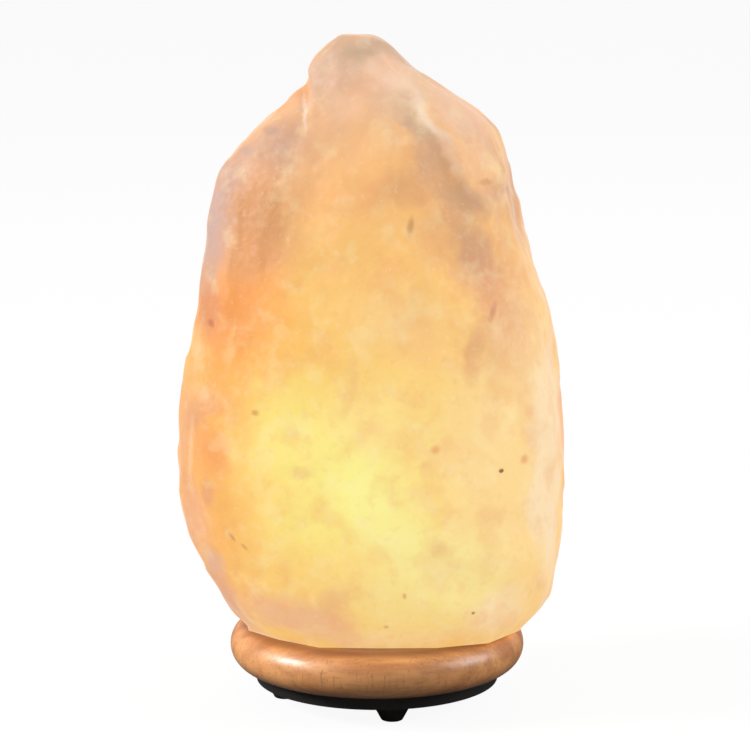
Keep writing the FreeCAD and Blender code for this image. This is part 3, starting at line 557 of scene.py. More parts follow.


# The glow, tints, painted shade and painted highlights that are seen in the front of the stone, large ones
# first.
# Each row is tint, centre, radii, strength, softness and lean.
FRONT_TINTS_AND_SHADING = tuple(Cloud(*row) for row in (
    # warm orange over the whole left side
    ("#FBA55C", (-57, -41, 88), (17.4, 43.5), 0.8),
    ("#FDCC64", (-34, -51, 104), (27.1, 53.9), 0.45),
    ("#D0977A", (-46, -30, 175), (18.8, 29.2), 0.55),
    # milky right side, and painted light along its thin cream edge
    ("#FDD796", (42, -44, 89), (20.9, 52.2), 0.75, 0.6),
    ("#FCDFB4", (57, -27, 89), (5.9, 43.5), 0.9, 0.5),
    ("#FFE0A0", (38, -46, 106), (6.3, 8.4), 0.5, 0.8),
    # orange and ember at the left
    ("#FF9E46", (-46, -41, 137), (16.7, 27.8), 0.8),
    ("#FDC25C", (-38, -47, 124), (18.1, 17.4), 0.5, 0.8),
    ("#D88E62", (-55, -29, 141), (6.6, 9.7), 0.8, 0.6),
    # lilac grey and brown over the left shoulder, partly painted shade on the side turned from the light
    ("#D0A48A", (-57, -22, 159), (4.2, 11.1), 0.8, 0.7, 6),
    ("#F8AA6A", (-45, -38, 157), (8.4, 6.3), 0.6, 0.8),
    ("#CCA89C", (-53, -22, 174), (7.0, 20.2), 0.9, 0.6, 5),
    ("#D6945C", (-39, -36, 174), (12.9, 16.0), 0.85, 0.6),
    ("#E6A068", (-43, -37, 163), (11.1, 5.9), 0.5),
    ("#CFA08A", (-45, -24, 187), (5.9, 9.7), 0.85, 0.7, 28),
    ("#D9AE92", (-35, -27, 196), (10.4, 5.6), 0.8, 0.6, -35),
    ("#E9AF80", (-39, -29, 188), (7.0, 5.6), 0.5),
    ("#C6987A", (-29, -31, 195), (9.4, 9.7), 0.8),
    # the peak, where the grey-tan patches are painted shade
    ("#F4B984", (-22, -35, 194), (5.6, 15.3), 0.5),
    ("#D4AC8E", (-17, -14, 217), (4.9, 9.7), 0.85, 0.6, 12),
    ("#CEAC8E", (-6, -11, 226), (16.0, 4.5), 0.8, 0.6),
    ("#FCD2B2", (5, -16, 218), (9.0, 7.7), 0.85, 0.6),
    ("#E3B594", (-11, -20, 213), (7.7, 6.3), 0.6),
    ("#F0BE94", (-4, -28, 207), (16.0, 4.9), 0.5),
    # painted shade in tan down the right of the peak, on the side turned from the light
    ("#D0A888", (13, -30, 203), (3.8, 11.1), 0.92, 0.6, -38),
    ("#D6A680", (20, -35, 190), (5.2, 9.0), 0.75, 0.6, -28),
    ("#E4A874", (13, -40, 182), (15.3, 5.9), 0.65, 0.7, -8),
    ("#CA9E7A", (30, -35, 177), (8.4, 5.2), 0.85, 0.6, 30),
    ("#CE9C74", (33, -36, 161), (4.5, 12.5), 0.85, 0.6, -35),
    ("#DAA07A", (33, -38, 154), (6.3, 9.0), 0.55, 0.7, -20),
    ("#E2A272", (22, -41, 166), (7.0, 8.4), 0.45, 0.8),
    ("#E3A976", (26, -38, 173), (5.6, 4.2), 0.5),
    # painted highlight along the ridge, painted light on the facets beside it and a darker patch in the
    # notch
    ("#F4D8C0", (16, -25, 205), (1.7, 10.4), 0.75, 0.9, -36),
    ("#F8D2B2", (24, -32, 193), (1.6, 10.1), 0.6, 0.9, -28),
    ("#F5CDB0", (28, -12, 206), (11.8, 13.2), 0.8, 0.6),
    ("#F3C49C", (33, -22, 193), (8.4, 8.4), 0.6),
    ("#DCAA88", (40, -21, 180), (6.6, 3.1), 0.6),
    # reddish streaks down the right
    ("#D8A684", (46, -5, 172), (4.9, 14.6), 0.75, 0.6, -8),
    ("#E4A67A", (41, -35, 144), (7.0, 20.9), 0.7),
    ("#F2C096", (49, -29, 133), (3.8, 26.1), 0.4),
    ("#DE9E72", (32, -46, 130), (3.1, 8.4), 0.55, 0.7, 14),
    # violet and orange spots low on the left, the lilac ones along the edge partly painted shade
    ("#CC8A74", (-60, -34, 104), (3.1, 5.2), 0.45),
    ("#EAA578", (-57, -36, 111), (4.5, 3.1), 0.5),
    ("#F9A058", (-55, -42, 95), (6.3, 6.6), 0.7),
    ("#F69C56", (-48, -39, 139), (9.7, 11.1), 0.55, 0.8),
    ("#DC967A", (-56, -42, 81), (2.1, 5.2), 0.5),
    ("#F5B68C", (-61, -31, 69), (4.9, 11.1), 0.65, 0.6),
    ("#E6A682", (-64, -29, 91), (2.8, 20.9), 0.5, 0.8),
    ("#EBAA84", (-63, -23, 59), (3.1, 17.4), 0.55, 0.8, -12),
    ("#DCA68E", (-53, -22, 41), (8.4, 12.5), 0.8, 0.6, -35),
    ("#D8ACA4", (-55, -31, 55), (3.1, 5.2), 0.6, 0.7, -20),
    ("#E4A880", (-47, -22, 32), (9.0, 4.5), 0.6, 0.7, 20),
    # pink along the foot
    ("#F3B891", (-26, -42, 37), (21.6, 5.9), 0.75, 0.6, 14),
    ("#F0B084", (-15, -48, 44), (4.9, 7.7), 0.55),
    ("#FFD49A", (8, -43, 32), (23.0, 3.8), 0.5),
    ("#FFEE9E", (17, -51, 50), (28.5, 14.6), 0.55, 0.8),
    ("#FFE2B8", (42, -37, 39), (12.5, 8.4), 0.6),
    # where the bulb shines through
    ("#FEFC9C", (-6, -57, 86), (11.1, 13.9), 0.9, 0.9, -20),
    ("#FDE880", (-29, -52, 104), (17.4, 16.0), 0.75, 0.8, 35),
    ("#FFE694", (0, -56, 107), (16.0, 9.7), 0.6, 0.8, 15),
    ("#FFD896", (8, -51, 140), (12.5, 10.4), 0.5, 0.8),
    ("#FEEE8A", (-17, -56, 94), (16.0, 11.8), 0.7, 0.8, 35),
    ("#FEF298", (6, -55, 71), (15.3, 9.0), 0.8, 0.8, 35),
    ("#FEEC86", (-22, -54, 73), (11.1, 9.0), 0.75, 0.8),
    ("#FEF09C", (21, -52, 58), (18.8, 9.0), 0.75, 0.8, 20),
    ("#FDEA9C", (30, -49, 61), (10.4, 10.4), 0.5, 0.8),
    # faint streaks in the bright part
    ("#F5CA80", (-9, -55, 120), (2.1, 8.4), 0.5),
    ("#FAC47E", (14, -52, 131), (5.9, 8.4), 0.5),
    ("#E8BE76", (-23, -54, 91), (3.1, 2.4), 0.55),
    ("#FBCD8C", (23, -54, 95), (8.4, 4.2), 0.4, 0.8),
    ("#EAC888", (22, -53, 64), (3.5, 2.8), 0.5),
    ("#F2BE7C", (17, -56, 90), (2.4, 2.8), 0.45),
))

# Small marks with firm places: brown inclusions, pale cracks and a painted highlight along a crease.
MARKS = tuple(Cloud(*row) for row in (
    ("#B89684", (-35, -21, 199), (2.8, 1.4), 0.6, 0.6),
    ("#BFA294", (-43, -20, 192), (2.1, 1.4), 0.5, 0.6),
    ("#B79C80", (-7, -13, 224), (3.5, 1.7), 0.25, 0.8),
    ("#B98468", (36, -24, 182), (2.1, 1.0), 0.4),
    ("#C9A08A", (43, -12, 178), (1.7, 1.0), 0.5, 0.6),
    ("#C08066", (38, -40, 141), (0.9, 3.1), 0.5, 0.7, 20),
    ("#A86E48", (11, -44, 170), (1.0, 2.4), 0.5, 0.8, 5),
    ("#C8823C", (-40, -48, 109), (1.2, 0.9), 0.6),
    ("#E18C50", (19, -56, 98), (1.3, 1.3), 0.5),
    ("#78462A", (41, -46, 89), (0.7, 0.7), 0.9, 0.5),
    ("#E19664", (49, -36, 91), (1.2, 1.4), 0.6),
    ("#965A32", (32, -42, 40), (0.6, 0.6), 0.75, 0.6),
    ("#D88A58", (3, -46, 36), (0.8, 0.6), 0.5, 0.6),
    ("#D2965A", (9, -51, 48), (0.6, 0.9), 0.6, 0.6),
    ("#B4603C", (-55, -31, 136), (1.1, 1.1), 0.55),
    ("#B9805C", (-48, -43, 66), (0.6, 1.6), 0.5, 0.7, -40),
    ("#B07A58", (-44, -44, 63), (0.6, 1.4), 0.45, 0.7, -55),
    ("#FFD696", (-48, -40, 130), (0.9, 8.4), 0.2, 0.8, 8),
    ("#FFCD96", (-60, -28, 126), (1.0, 7.0), 0.5, 0.8, 5),
    ("#FFD7AA", (-62, -32, 93), (0.8, 9.4), 0.4, 0.8, 3),
    # painted highlight along the crease between peak and left shoulder
    ("#FFE6D4", (-24, -22, 206), (0.6, 6.3), 0.5, 0.8, -5),
))

# Milky and orange clouds that take turns on the sides and the back.
BACK_VEILS = (
    Veil("#FDD9A0", 52.0, 0.50, 0.62, 0.75),
    Veil("#F7A862", 44.0, 0.50, 0.64, 0.75),
)

# Painted shade in their upper part, as lilac and tan clouds.
HIGH_SHADE_VEILS = (
    Veil("#D8B49E", 30.0, 0.44, 0.60, 0.80),
    Veil("#D2A27C", 23.0, 0.52, 0.62, 0.70),
)

# Faint flecks all over the stone, large ones first.
FLECKS = (
    Veil("#F0A468", 13.3, 0.48, 0.66, 0.24),
    Veil("#FFF0BC", 9.1, 0.50, 0.68, 0.20),
    Veil("#E8A070", 3.5, 0.52, 0.70, 0.13),
    Veil("#FFF2D8", 1.75, 0.56, 0.74, 0.14),
)


@dataclass(frozen=True)
class RockSalt:
    """Rock salt, hewn and lit from inside.

    The stone glows yellow where the bulb is near and orange to pink away from
    it, with lilac and tan clouds that are partly painted shade, painted
    highlights on ridges and thin edges, brown inclusions and a waxy, broken gloss.
    Lengths are in millimetres, and each wave is its size and its push.
    """

    slot: Slot = Slot.ROCK_SALT
    ior: float = 1.544
    bulb_height: float = 85.2
    glow_reach: float = 145.0
    glow_shape: Point = (0.5, 0.0, 1.0)
    # Colours of the glow, from the bulb's height outwards, as shares of the reach.
    glow: tuple[tuple[float, str], ...] = (
        (0.0, "#FFE388"), (0.10, "#FFDF84"), (0.19, "#FFD980"), (0.31, "#FFCE79"),
        (0.48, "#FFC877"), (0.69, "#FEC17A"), (0.86, "#EFB786"), (1.0, "#DEB592"),
    )
    # Share of the colour that is given off, at the bulb and at the glow's end.
    glow_share: tuple[float, float] = (0.94, 0.66)
    # Where the sides' own clouds and the painted shade of the upper part set in and are full.
    side_start: float = -42.0
    side_full: float = -12.0
    upper_shade_start: float = 135.0
    upper_shade_full: float = 200.0
    wobble: tuple[float, float] = (24.0, 26.0)
    sway: tuple[float, float] = (24.0, 11.0)
    ripple: tuple[float, float] = (6.0, 6.0)
    # Painted pale sheen on thin edges: its tint, where it sets in and its strength.
    painted_rim_sheen: str = "#FBDCC8"
    painted_rim_sheen_start: float = 0.68
    painted_rim_sheen_strength: float = 0.45
    grain_size: float = 2.4
    grain_height: float = 0.5
    grain_strength: float = 0.35
    sheen: tuple[float, float] = (0.62, 0.82)

    def build(self) -> bpy.types.Material:
        """Makes the material.

        Returns:
            The material, with all its nodes.
        """
        material, tree, shader = new_material("rock_salt_hewn")
        place = add(tree, "TexCoord").outputs["Object"]
        loose = pushed(tree, place, self.wobble, self.ripple)

        # The glow fades up, down and sideways from the place of the bulb.
        from_bulb = add(tree, "VectorMath", {0: loose, 1: (0.0, 0.0, self.bulb_height * MM)},
                        operation="SUBTRACT").outputs[0]
        shaped = add(tree, "VectorMath", {0: from_bulb, 1: self.glow_shape},
                     operation="MULTIPLY").outputs[0]
        away = add(tree, "VectorMath", {0: shaped}, operation="LENGTH").outputs["Value"]
        share = add(tree, "Math", {0: away, 1: self.glow_reach * MM}, operation="DIVIDE")
        colour = add(tree, "ValToRGB", {0: share.outputs[0]}, stops=self.glow).outputs["Color"]

        # The sides and the back have clouds of their own, and high up more of them, which are painted
        # shade.
        axes = add(tree, "SeparateXYZ", {0: loose})
        sides, upper = (
            add(tree, "MapRange", {"Value": axes.outputs[axis], **eased(start * MM, full * MM)},
                interpolation_type="SMOOTHSTEP").outputs[0]
            for axis, start, full in (
                ("Y", self.side_start, self.side_full), ("Z", self.upper_shade_start, self.upper_shade_full),
            )
        )
        upper = add(tree, "Math", {0: upper, 1: sides}, operation="MULTIPLY").outputs[0]
        for veils, mask in ((BACK_VEILS, sides), (HIGH_SHADE_VEILS, upper)):
            for veil in veils:
                colour = veil.over(tree, loose, colour, mask)

        firm = pushed(tree, place, self.sway, self.ripple)
        near = pushed(tree, place, (self.grain_size, self.grain_size / 2))
        for layers, where in ((FRONT_TINTS_AND_SHADING, firm), (FLECKS, near), (MARKS, near)):
            for layer in layers:
                colour = layer.over(tree, where, colour)

        # Thin edges get a painted pale sheen, laid on by the angle of view.
        facing = add(tree, "LayerWeight").outputs["Facing"]
        colour = tinted(tree, colour, self.painted_rim_sheen, facing, self.painted_rim_sheen_start, 1.0, self.painted_rim_sheen_strength)

        # One share of each colour is given off by the lit stone and the rest
        # is what it reflects.
        given = add(tree, "MapRange", {
            "Value": away, **eased(0.0, self.glow_reach * MM, *self.glow_share),
        }, interpolation_type="SMOOTHSTEP").outputs[0]
        kept = add(tree, "Math", {0: 1.0, 1: given}, operation="SUBTRACT").outputs[0]
        for name, part in (("Emission Color", given), ("Base Color", kept)):
            light = add(tree, "VectorMath", {0: colour, "Scale": part}, operation="SCALE")
            feed(tree, shader, {name: light.outputs[0]})
        feed(tree, shader, {"Emission Strength": 1.0, "IOR": self.ior})
        grain = add(tree, "TexNoise", {
            "Vector": place, "Scale": per_metre(self.grain_size), "Detail": 5.0,
        })
        worked(tree, shader, grain.outputs["Fac"], self.sheen, self.grain_height, self.grain_strength)
        return material


@dataclass(frozen=True)
class Beech:
    """Steamed beech, turned and given a satin lacquer.

    It is a warm pink-brown with faint growth bands along the base and the
    short dark flecks of its rays. Under the stone's edge a red-brown painted
    shadow is laid on, and painted shade makes it darker downwards.
    """

    slot: Slot = Slot.BEECH
    ior: float = 1.5
    light: str = "#E6A264"
    dark: str = "#BC7842"
    ray: str = "#8C5832"
    # painted shadow under the stone's edge, and painted shade at the bottom
    painted_contact_shadow: str = "#7A4324"
    painted_under_shade: str = "#7A4C2C"
    # How the grain is drawn out along the base, and the rays upwards.
    along: Point = (0.10, 1.0, 1.0)
    upright: Point = (1.0, 1.0, 0.14)
    band_size: float = 7.0
    fibre_size: float = 1.1
    ray_size: float = 0.9
    # depth of the painted shadow and height of the painted shade
    contact_shadow_depth: float = 2.2
    under_shade_height: float = 7.0
    fibre_height: float = 0.05
    fibre_strength: float = 0.4
    sheen: tuple[float, float] = (0.38, 0.52)
    coat: float = 0.5
    coat_roughness: float = 0.30

    def build(self) -> bpy.types.Material:
        """Makes the material.

        Returns:
            The material, with all its nodes.
        """
        material, tree, shader = new_material("beech_lacquered")
        place = add(tree, "TexCoord").outputs["Object"]
        along, upright = (
            add(tree, "Mapping", {"Vector": place, "Scale": drawn}).outputs[0]
            for drawn in (self.along, self.upright)
        )
        bands, fibres, rays = (
            add(tree, "TexNoise", {
                "Vector": grown, "Scale": per_metre(size), "Detail": detail, "Distortion": bend,
            }).outputs["Fac"]
            for grown, size, detail, bend in (
                (along, self.band_size, 3.0, 0.3),
                (along, self.fibre_size, 4.0, 0.0),
                (upright, self.ray_size, 2.0, 0.0),
            )
        )
        height = add(tree, "SeparateXYZ", {0: place}).outputs["Z"]
        bottom, top = (corner[2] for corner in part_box("wood_base"))
        colour = linear(self.light)
        for tint, value, low, high, strength in (
            (self.dark, bands, 0.30, 0.72, 1.0),
            (self.ray, fibres, 0.45, 0.75, 0.35),
            (self.ray, rays, 0.56, 0.74, 0.45),
            # painted shadow under the stone's edge, then painted shade towards the bottom
            (self.painted_contact_shadow, height, top - self.contact_shadow_depth * MM, top, 0.85),
            (self.painted_under_shade, height, bottom + self.under_shade_height * MM, bottom, 0.6),
        ):
            colour = tinted(tree, colour, tint, value, low, high, strength)
        feed(tree, shader, {
            "Base Color": colour,
            "IOR": self.ior,
            "Coat Weight": self.coat,
            "Coat Roughness": self.coat_roughness,
        })
        worked(tree, shader, fibres, self.sheen, self.fibre_height, self.fibre_strength)
        return material


@dataclass(frozen=True)
class Solid:
    """An even finish with a faint cloud of a second colour and a fine grain.

    A grain that is stretched along one axis gives rolled or drawn metal, and
    an even one gives moulded or cast surfaces.
    """

    slot: Slot
    name: str
    colour: str
    cloud: str
    roughness: float
    sheen_spread: float = 0.18
    metallic: float = 0.0
    ior: float | None = None
    cloud_size: float = 9.0
    cloud_range: tuple[float, float] = (0.35, 0.68)
    grain_size: float = 0.5
    grain_height: float = 0.02
    grain_strength: float = 0.5
    stretch: Point = (1.0, 1.0, 1.0)
    coat: float = 0.0

    def build(self) -> bpy.types.Material:
        """Makes the material.

        Returns:
            The material, with all its nodes.
        """
        material, tree, shader = new_material(self.name)
        place = add(tree, "TexCoord").outputs["Object"]
        drawn = add(tree, "Mapping", {"Vector": place, "Scale": self.stretch}).outputs[0]
        clouds, grain = (
            add(tree, "TexNoise", {
                "Vector": drawn, "Scale": per_metre(size), "Detail": detail,
            }).outputs["Fac"]
            for size, detail in ((self.cloud_size, 4.0), (self.grain_size, 3.0))
        )
        feed(tree, shader, {
            "Base Color": tinted(tree, linear(self.colour), self.cloud, clouds, *self.cloud_range),
            "Metallic": self.metallic,
            "Coat Weight": self.coat,
        })
        if self.ior:
            feed(tree, shader, {"IOR": self.ior})
        spread = self.sheen_spread * self.roughness
        sheen = (self.roughness - spread, self.roughness + spread)
        worked(tree, shader, grain, sheen, self.grain_height, self.grain_strength)
        return material


@dataclass(frozen=True)
class LampGlass:
    """Blown soda-lime glass: clear, smooth, with the faintest waviness."""

    slot: Slot = Slot.CLEAR_GLASS
    ior: float = 1.52
    clear: str = "#FFFFFF"
    tint: str = "#FBFDFB"
    roughness: float = 0.02
    wave_size: float = 7.0
    wave_height: float = 0.06
    wave_strength: float = 0.3

    def build(self) -> bpy.types.Material:
        """Makes the material.

        Returns:
            The material, with all its nodes.
        """
        material, tree, shader = new_material("soda_glass_blown")
        place = add(tree, "TexCoord").outputs["Object"]
        waves = add(tree, "TexNoise", {"Vector": place, "Scale": per_metre(self.wave_size)}).outputs["Fac"]
        bump = add(tree, "Bump", {
            "Height": waves, "Strength": self.wave_strength, "Distance": self.wave_height * MM,
        })
        feed(tree, shader, {
            "Base Color": tinted(tree, linear(self.clear), self.tint, waves, *NOISE_SWING),
            "Normal": bump.outputs[0],
            "Roughness": self.roughness,
            "IOR": self.ior,
            "Transmission Weight": 1.0,
        })
        return material


@dataclass(frozen=True)
class GlowingTungsten:
    """Drawn tungsten wire at work: white-orange light, a little cooler in spots."""

    slot: Slot = Slot.TUNGSTEN
    hot: str = "#FFD9A0"
    cool: str = "#FF9E4A"
    metal: str = "#6E6A66"
    roughness: float = 0.5
    spot_size: float = 1.5
    spot_range: tuple[float, float] = (0.4, 0.7)
    strength: float = 4.0

    def build(self) -> bpy.types.Material:
        """Makes the material.

        Returns:
            The material, with all its nodes.
        """
        material, tree, shader = new_material("tungsten_glowing")
        place = add(tree, "TexCoord").outputs["Object"]
        spots = add(tree, "TexNoise", {"Vector": place, "Scale": per_metre(self.spot_size)}).outputs["Fac"]
        feed(tree, shader, {
            "Emission Color": tinted(tree, linear(self.hot), self.cool, spots, *self.spot_range),
            "Emission Strength": self.strength,
            "Base Color": linear(self.metal),
            "Metallic": 1.0,
            "Roughness": self.roughness,
        })
        return material


FINISHES = (
    RockSalt(),
    Beech(),
    LampGlass(),
    GlowingTungsten(),
    # black polypropylene, moulded with a fine matt grain
    Solid(Slot.BLACK_PLASTIC, "polypropylene_black", "#100D0C", "#171311", 0.58, ior=1.40,
          grain_size=0.6, grain_height=0.03),
    # black rubber, dull and a little dusty
    Solid(Slot.BLACK_RUBBER, "rubber_black", "#14100F", "#1E1917", 0.68, ior=1.42,
          grain_size=0.8, grain_height=0.04),
    # zinc-plated steel, bright with cloudy bluish plating
    Solid(Slot.ZINC_STEEL, "steel_zinc_plated", "#C9CCCF", "#A9ADB4", 0.30, metallic=1.0,
          cloud_size=2.5, grain_size=0.3),
    # blued spring strip, with fine lines from the rolls
    Solid(Slot.SPRING_STEEL, "spring_steel_rolled", "#8E9298", "#6F747B", 0.28, metallic=1.0,
          cloud_size=4.0, grain_size=0.25, stretch=(1.0, 1.0, 0.08)),
    # natural nylon, milky and slightly waxy
    Solid(Slot.NYLON, "nylon_natural", "#E6DFCE", "#D6CDB8", 0.45, ior=1.53),
    # black phenolic moulding, hard and rather glossy
    Solid(Slot.PHENOLIC, "phenolic_black", "#1D1815", "#2C241F", 0.32, ior=1.62,
          cloud_size=3.0, grain_size=0.9, coat=0.2),
    # pressed brass, yellow with duller patches
    Solid(Slot.BRASS, "brass_pressed", "#D9B45F", "#B58E42", 0.27, metallic=1.0,
          cloud_size=3.0, grain_size=0.3),
    # tin solder, grey and softly wrinkled
    Solid(Slot.SOLDER, "solder_tin", "#B9B9B6", "#93938F", 0.38, metallic=1.0,
          cloud_size=1.2, grain_size=0.7, grain_height=0.08),
    # fused black glass, shiny
    Solid(Slot.BLACK_GLASS, "glass_black", "#141216", "#201C24", 0.10, ior=1.55,
          cloud_size=2.0, grain_size=1.5),
    # drawn nickel wire, grey and smooth
    Solid(Slot.NICKEL_WIRE, "nickel_drawn", "#BDB8AE", "#9A958B", 0.30, metallic=1.0,
          cloud_size=2.0, grain_size=0.2, stretch=(1.0, 1.0, 0.1)),
)


# ---------------- the crystal

@dataclass(frozen=True)
class Crease:
    """A ridge or groove along a line of (across, up) places on the front.

    A positive height is a ridge, and the width is that of its bell curve.
    It sets in over the first `fade` millimetres in front of the middle.
    """

    height: float
    width: float
    line: tuple[tuple[float, float], ...]
    fade: float = 8.0

    def rise(self, skin: np.ndarray) -> np.ndarray:
        """Height of the crease over each point of the skin.

        The height falls off as exp(-(distance / width)^2) from the line, as
        seen from the front, and is left out at the back.

        Args:
            skin: Points, with three numbers in the last axis.

        Returns:
            One height for each point, in millimetres.
        """
        flat = skin[..., [0, 2]]
        nearest = np.full(skin.shape[:-1], np.inf)
        for start, end in zip(np.array(self.line[:-1]), np.array(self.line[1:])):
            run = end - start
            share = np.clip((flat - start) @ run / (run @ run), 0.0, 1.0)
            gap = np.linalg.norm(flat - start - share[..., None] * run, axis=-1)
            nearest = np.minimum(nearest, gap)
        front = np.clip(-skin[..., 1] / self.fade, 0.0, 1.0)
        return self.height * front * np.exp(-(nearest / self.width) ** 2)


CREASES = (
    # ridge from the peak to the right shoulder
    Crease(1.7, 3.0, ((8, 222), (14, 212), (23, 197), (31, 183), (35, 173))),
    # hollow beside it
    Crease(-1.5, 7.0, ((6, 215), (11, 204), (19, 191), (27, 179))),
    # crease between peak and left shoulder
    Crease(-1.6, 1.8, ((-24, 215), (-24, 206))),
    # edge of the left side
    Crease(1.3, 3.0, ((-47, 159), (-51, 135), (-57, 111), (-58, 92), (-51, 70), (-45, 58))),
    # edge of the right side
    Crease(1.2, 3.5, ((48, 143), (53, 110), (53, 69), (46, 41))),
    # notch in the right shoulder
    Crease(-1.3, 3.0, ((33, 182), (44, 177))),
    # dip under the peak
    Crease(-1.0, 4.0, ((-16, 221), (-6, 222), (5, 220))),
    # crack low on the left
    Crease(-0.9, 2.2, ((-48, 68), (-45, 58), (-46, 52))),
    # edge of the right shoulder
    Crease(0.9, 2.6, ((21, 211), (31, 205), (41, 191), (47, 171))),
)


@dataclass
class SaltCrystal:
    """The hewn block: its outline by levels, and the hollow drilled into it.

    Each level holds its height as a share of the whole, and its reach to the
    left, right, front and back as shares of the half width and half depth.
    Chips come in layers of (height, cell, edge, salt), and soft waves in
    layers of (height, cell, salt).
    """

    foot: float = 26.7
    height: float = 202.5
    half_width: float = 68.6
    half_depth: float = 57.5
    chip_depth: float = 1.1
    chip_step_round: float = 2.3
    chip_step_up: float = 1.7
    flake_depth: float = 2.0
    flake_step_round: float = 2.9
    flake_step_up: float = -2.6
    bore_radius: float = 23.0
    bore_depth: float = 76.0
    drill_point: float = 4.0
    # Spread of the softening along rows and columns, in grid steps.
    soft_up: float = 2.6
    soft_round: float = 4.5
    bend_push: float = 4.0
    bend_size: float = 22.0
    bend_salts: tuple[int, ...] = (91, 92, 93)
    chips: tuple[tuple[float, float, float, int], ...] = ((0.9, 26.0, 9.0, 11), (0.6, 11.0, 12.0, 31))
    waves: tuple[tuple[float, float, int], ...] = ((0.22, 7.0, 51), (0.08, 3.2, 52))
    # Height over which the relief sets in above the foot.
    relief_fade: float = 9.0
    sharp_angle: float = 50.0
    columns: int = 392
    side_rows: int = 186
    foot_rows: int = 8
    bore_rows: int = 24
    end_rows: int = 8
    top_rows: int = 10
    levels: np.ndarray = field(default_factory=lambda: np.array((
        (0.000, 0.635, 0.794, 0.690, 0.730),
        (0.035, 0.741, 0.886, 0.783, 0.817),
        (0.079, 0.802, 0.923, 0.870, 0.896),
        (0.138, 0.882, 0.948, 0.939, 0.948),
        (0.207, 0.969, 0.955, 0.983, 0.983),
        (0.286, 1.000, 0.962, 1.000, 1.000),
        (0.370, 0.985, 0.948, 0.991, 0.991),
        (0.454, 0.936, 0.918, 0.965, 0.974),
        (0.533, 0.901, 0.878, 0.922, 0.939),
        (0.617, 0.869, 0.793, 0.870, 0.887),
        (0.701, 0.834, 0.717, 0.809, 0.835),
        (0.780, 0.767, 0.671, 0.722, 0.765),
        (0.844, 0.627, 0.609, 0.617, 0.670),
        (0.884, 0.461, 0.455, 0.504, 0.557),
        (0.923, 0.347, 0.259, 0.365, 0.417),
        (0.963, 0.312, 0.120, 0.270, 0.287),
        (0.985, 0.259, 0.067, 0.209, 0.209),
        (1.000, 0.190, -0.022, 0.122, 0.113),
    )))
    corners: np.ndarray = field(default_factory=lambda: np.array((
        (1.00, 0.36), (0.81, 0.72), (0.46, 0.94), (0.07, 1.00),
        (-0.34, 0.93), (-0.68, 0.75), (-0.89, 0.42), (-0.97, 0.00),
        (-1.00, -0.42), (-0.81, -0.73), (-0.49, -0.92), (-0.10, -1.00),
        (0.30, -0.97), (0.64, -0.80), (0.90, -0.44), (0.97, -0.05),
    )))

    def outline(self) -> np.ndarray:
        """Corner points of every level.

        A level's middle lies halfway between its reaches, and each corner is
        its share of the half width and half depth from there. Two waves of
        the form depth * sin(step_round * corner + step_up * level) draw it in,
        and the second fades out at the widest corners, the first and the
        middle one.

        Returns:
            Levels by corners by three, in millimetres, the lowest first.
        """
        share, left, right, front, back = self.levels.T[:, :, None]
        reach = np.stack([
            self.corners[:, 0] * self.half_width * (left + right) / 2,
            self.corners[:, 1] * self.half_depth * (front + back) / 2,
        ], axis=-1)
        turn = np.arange(len(self.corners))
        level = np.arange(len(self.levels))[:, None]
        chip = self.chip_depth * np.sin(self.chip_step_round * turn + self.chip_step_up * level)
        flake = self.flake_depth * np.sin(self.flake_step_round * turn + self.flake_step_up * level)
        struck = chip + flake * np.sin(FULL_TURN * turn / len(turn)) ** 2
        reach *= (1 - struck / np.linalg.norm(reach, axis=-1))[..., None]
        across = self.half_width * (right - left) / 2 + reach[..., 0]
        deep = self.half_depth * (back - front) / 2 + reach[..., 1]
        return np.stack([across, deep, self.foot + self.height * share + 0 * across], axis=-1)

    def side(self) -> np.ndarray:
        """The side wall, from the top level down to the foot.

        Both the level and the corner number run on a fine scale, and a point
        is the straight blend of the four corner points round it. Rows and
        columns are spaced evenly along the mean outline.

        Returns:
            Rows by columns by three.
        """
        outline = self.outline()
        ring = np.concatenate([outline, outline[:, :1]], axis=1)
        steps = np.linalg.norm(np.diff(ring, axis=1), axis=-1).mean(0)
        along = np.concatenate([[0.0], np.cumsum(steps)])
        turn = np.interp(np.arange(self.columns) / self.columns * along[-1], along, np.arange(len(along)))
        climb = np.linalg.norm(np.diff(outline, axis=0), axis=-1).mean(1)
        up = np.concatenate([[0.0], np.cumsum(climb)])
        level = np.interp(np.linspace(up[-1], 0.0, self.side_rows), up, np.arange(len(up)))
        low = np.minimum(level.astype(int), len(outline) - 2)
        part = (level - low)[:, None, None]
        rows = outline[low] * (1 - part) + outline[low + 1] * part
        first = turn.astype(int)
        share = (turn - first)[None, :, None]
        return rows[:, first] * (1 - share) + rows[:, (first + 1) % len(self.corners)] * share

    def relief(self, skin: np.ndarray) -> np.ndarray:
        """How far each point of the skin is struck in or left proud.

        It is the sum of the chips, on places bent by smooth noise, of the soft
        waves and of the creases.

        Args:
            skin: Points, with three numbers in the last axis.

        Returns:
            One height for each point, in millimetres.
        """
        bend = [smooth_noise(skin, self.bend_size, salt) for salt in self.bend_salts]
        bent = skin + self.bend_push * np.stack(bend, axis=-1)
        return (
            sum(height * hewn_chips(bent, cell, edge, salt) for height, cell, edge, salt in self.chips)
            + sum(height * smooth_noise(skin, cell, salt) for height, cell, salt in self.waves)
            + sum(crease.rise(skin) for crease in CREASES)
        )

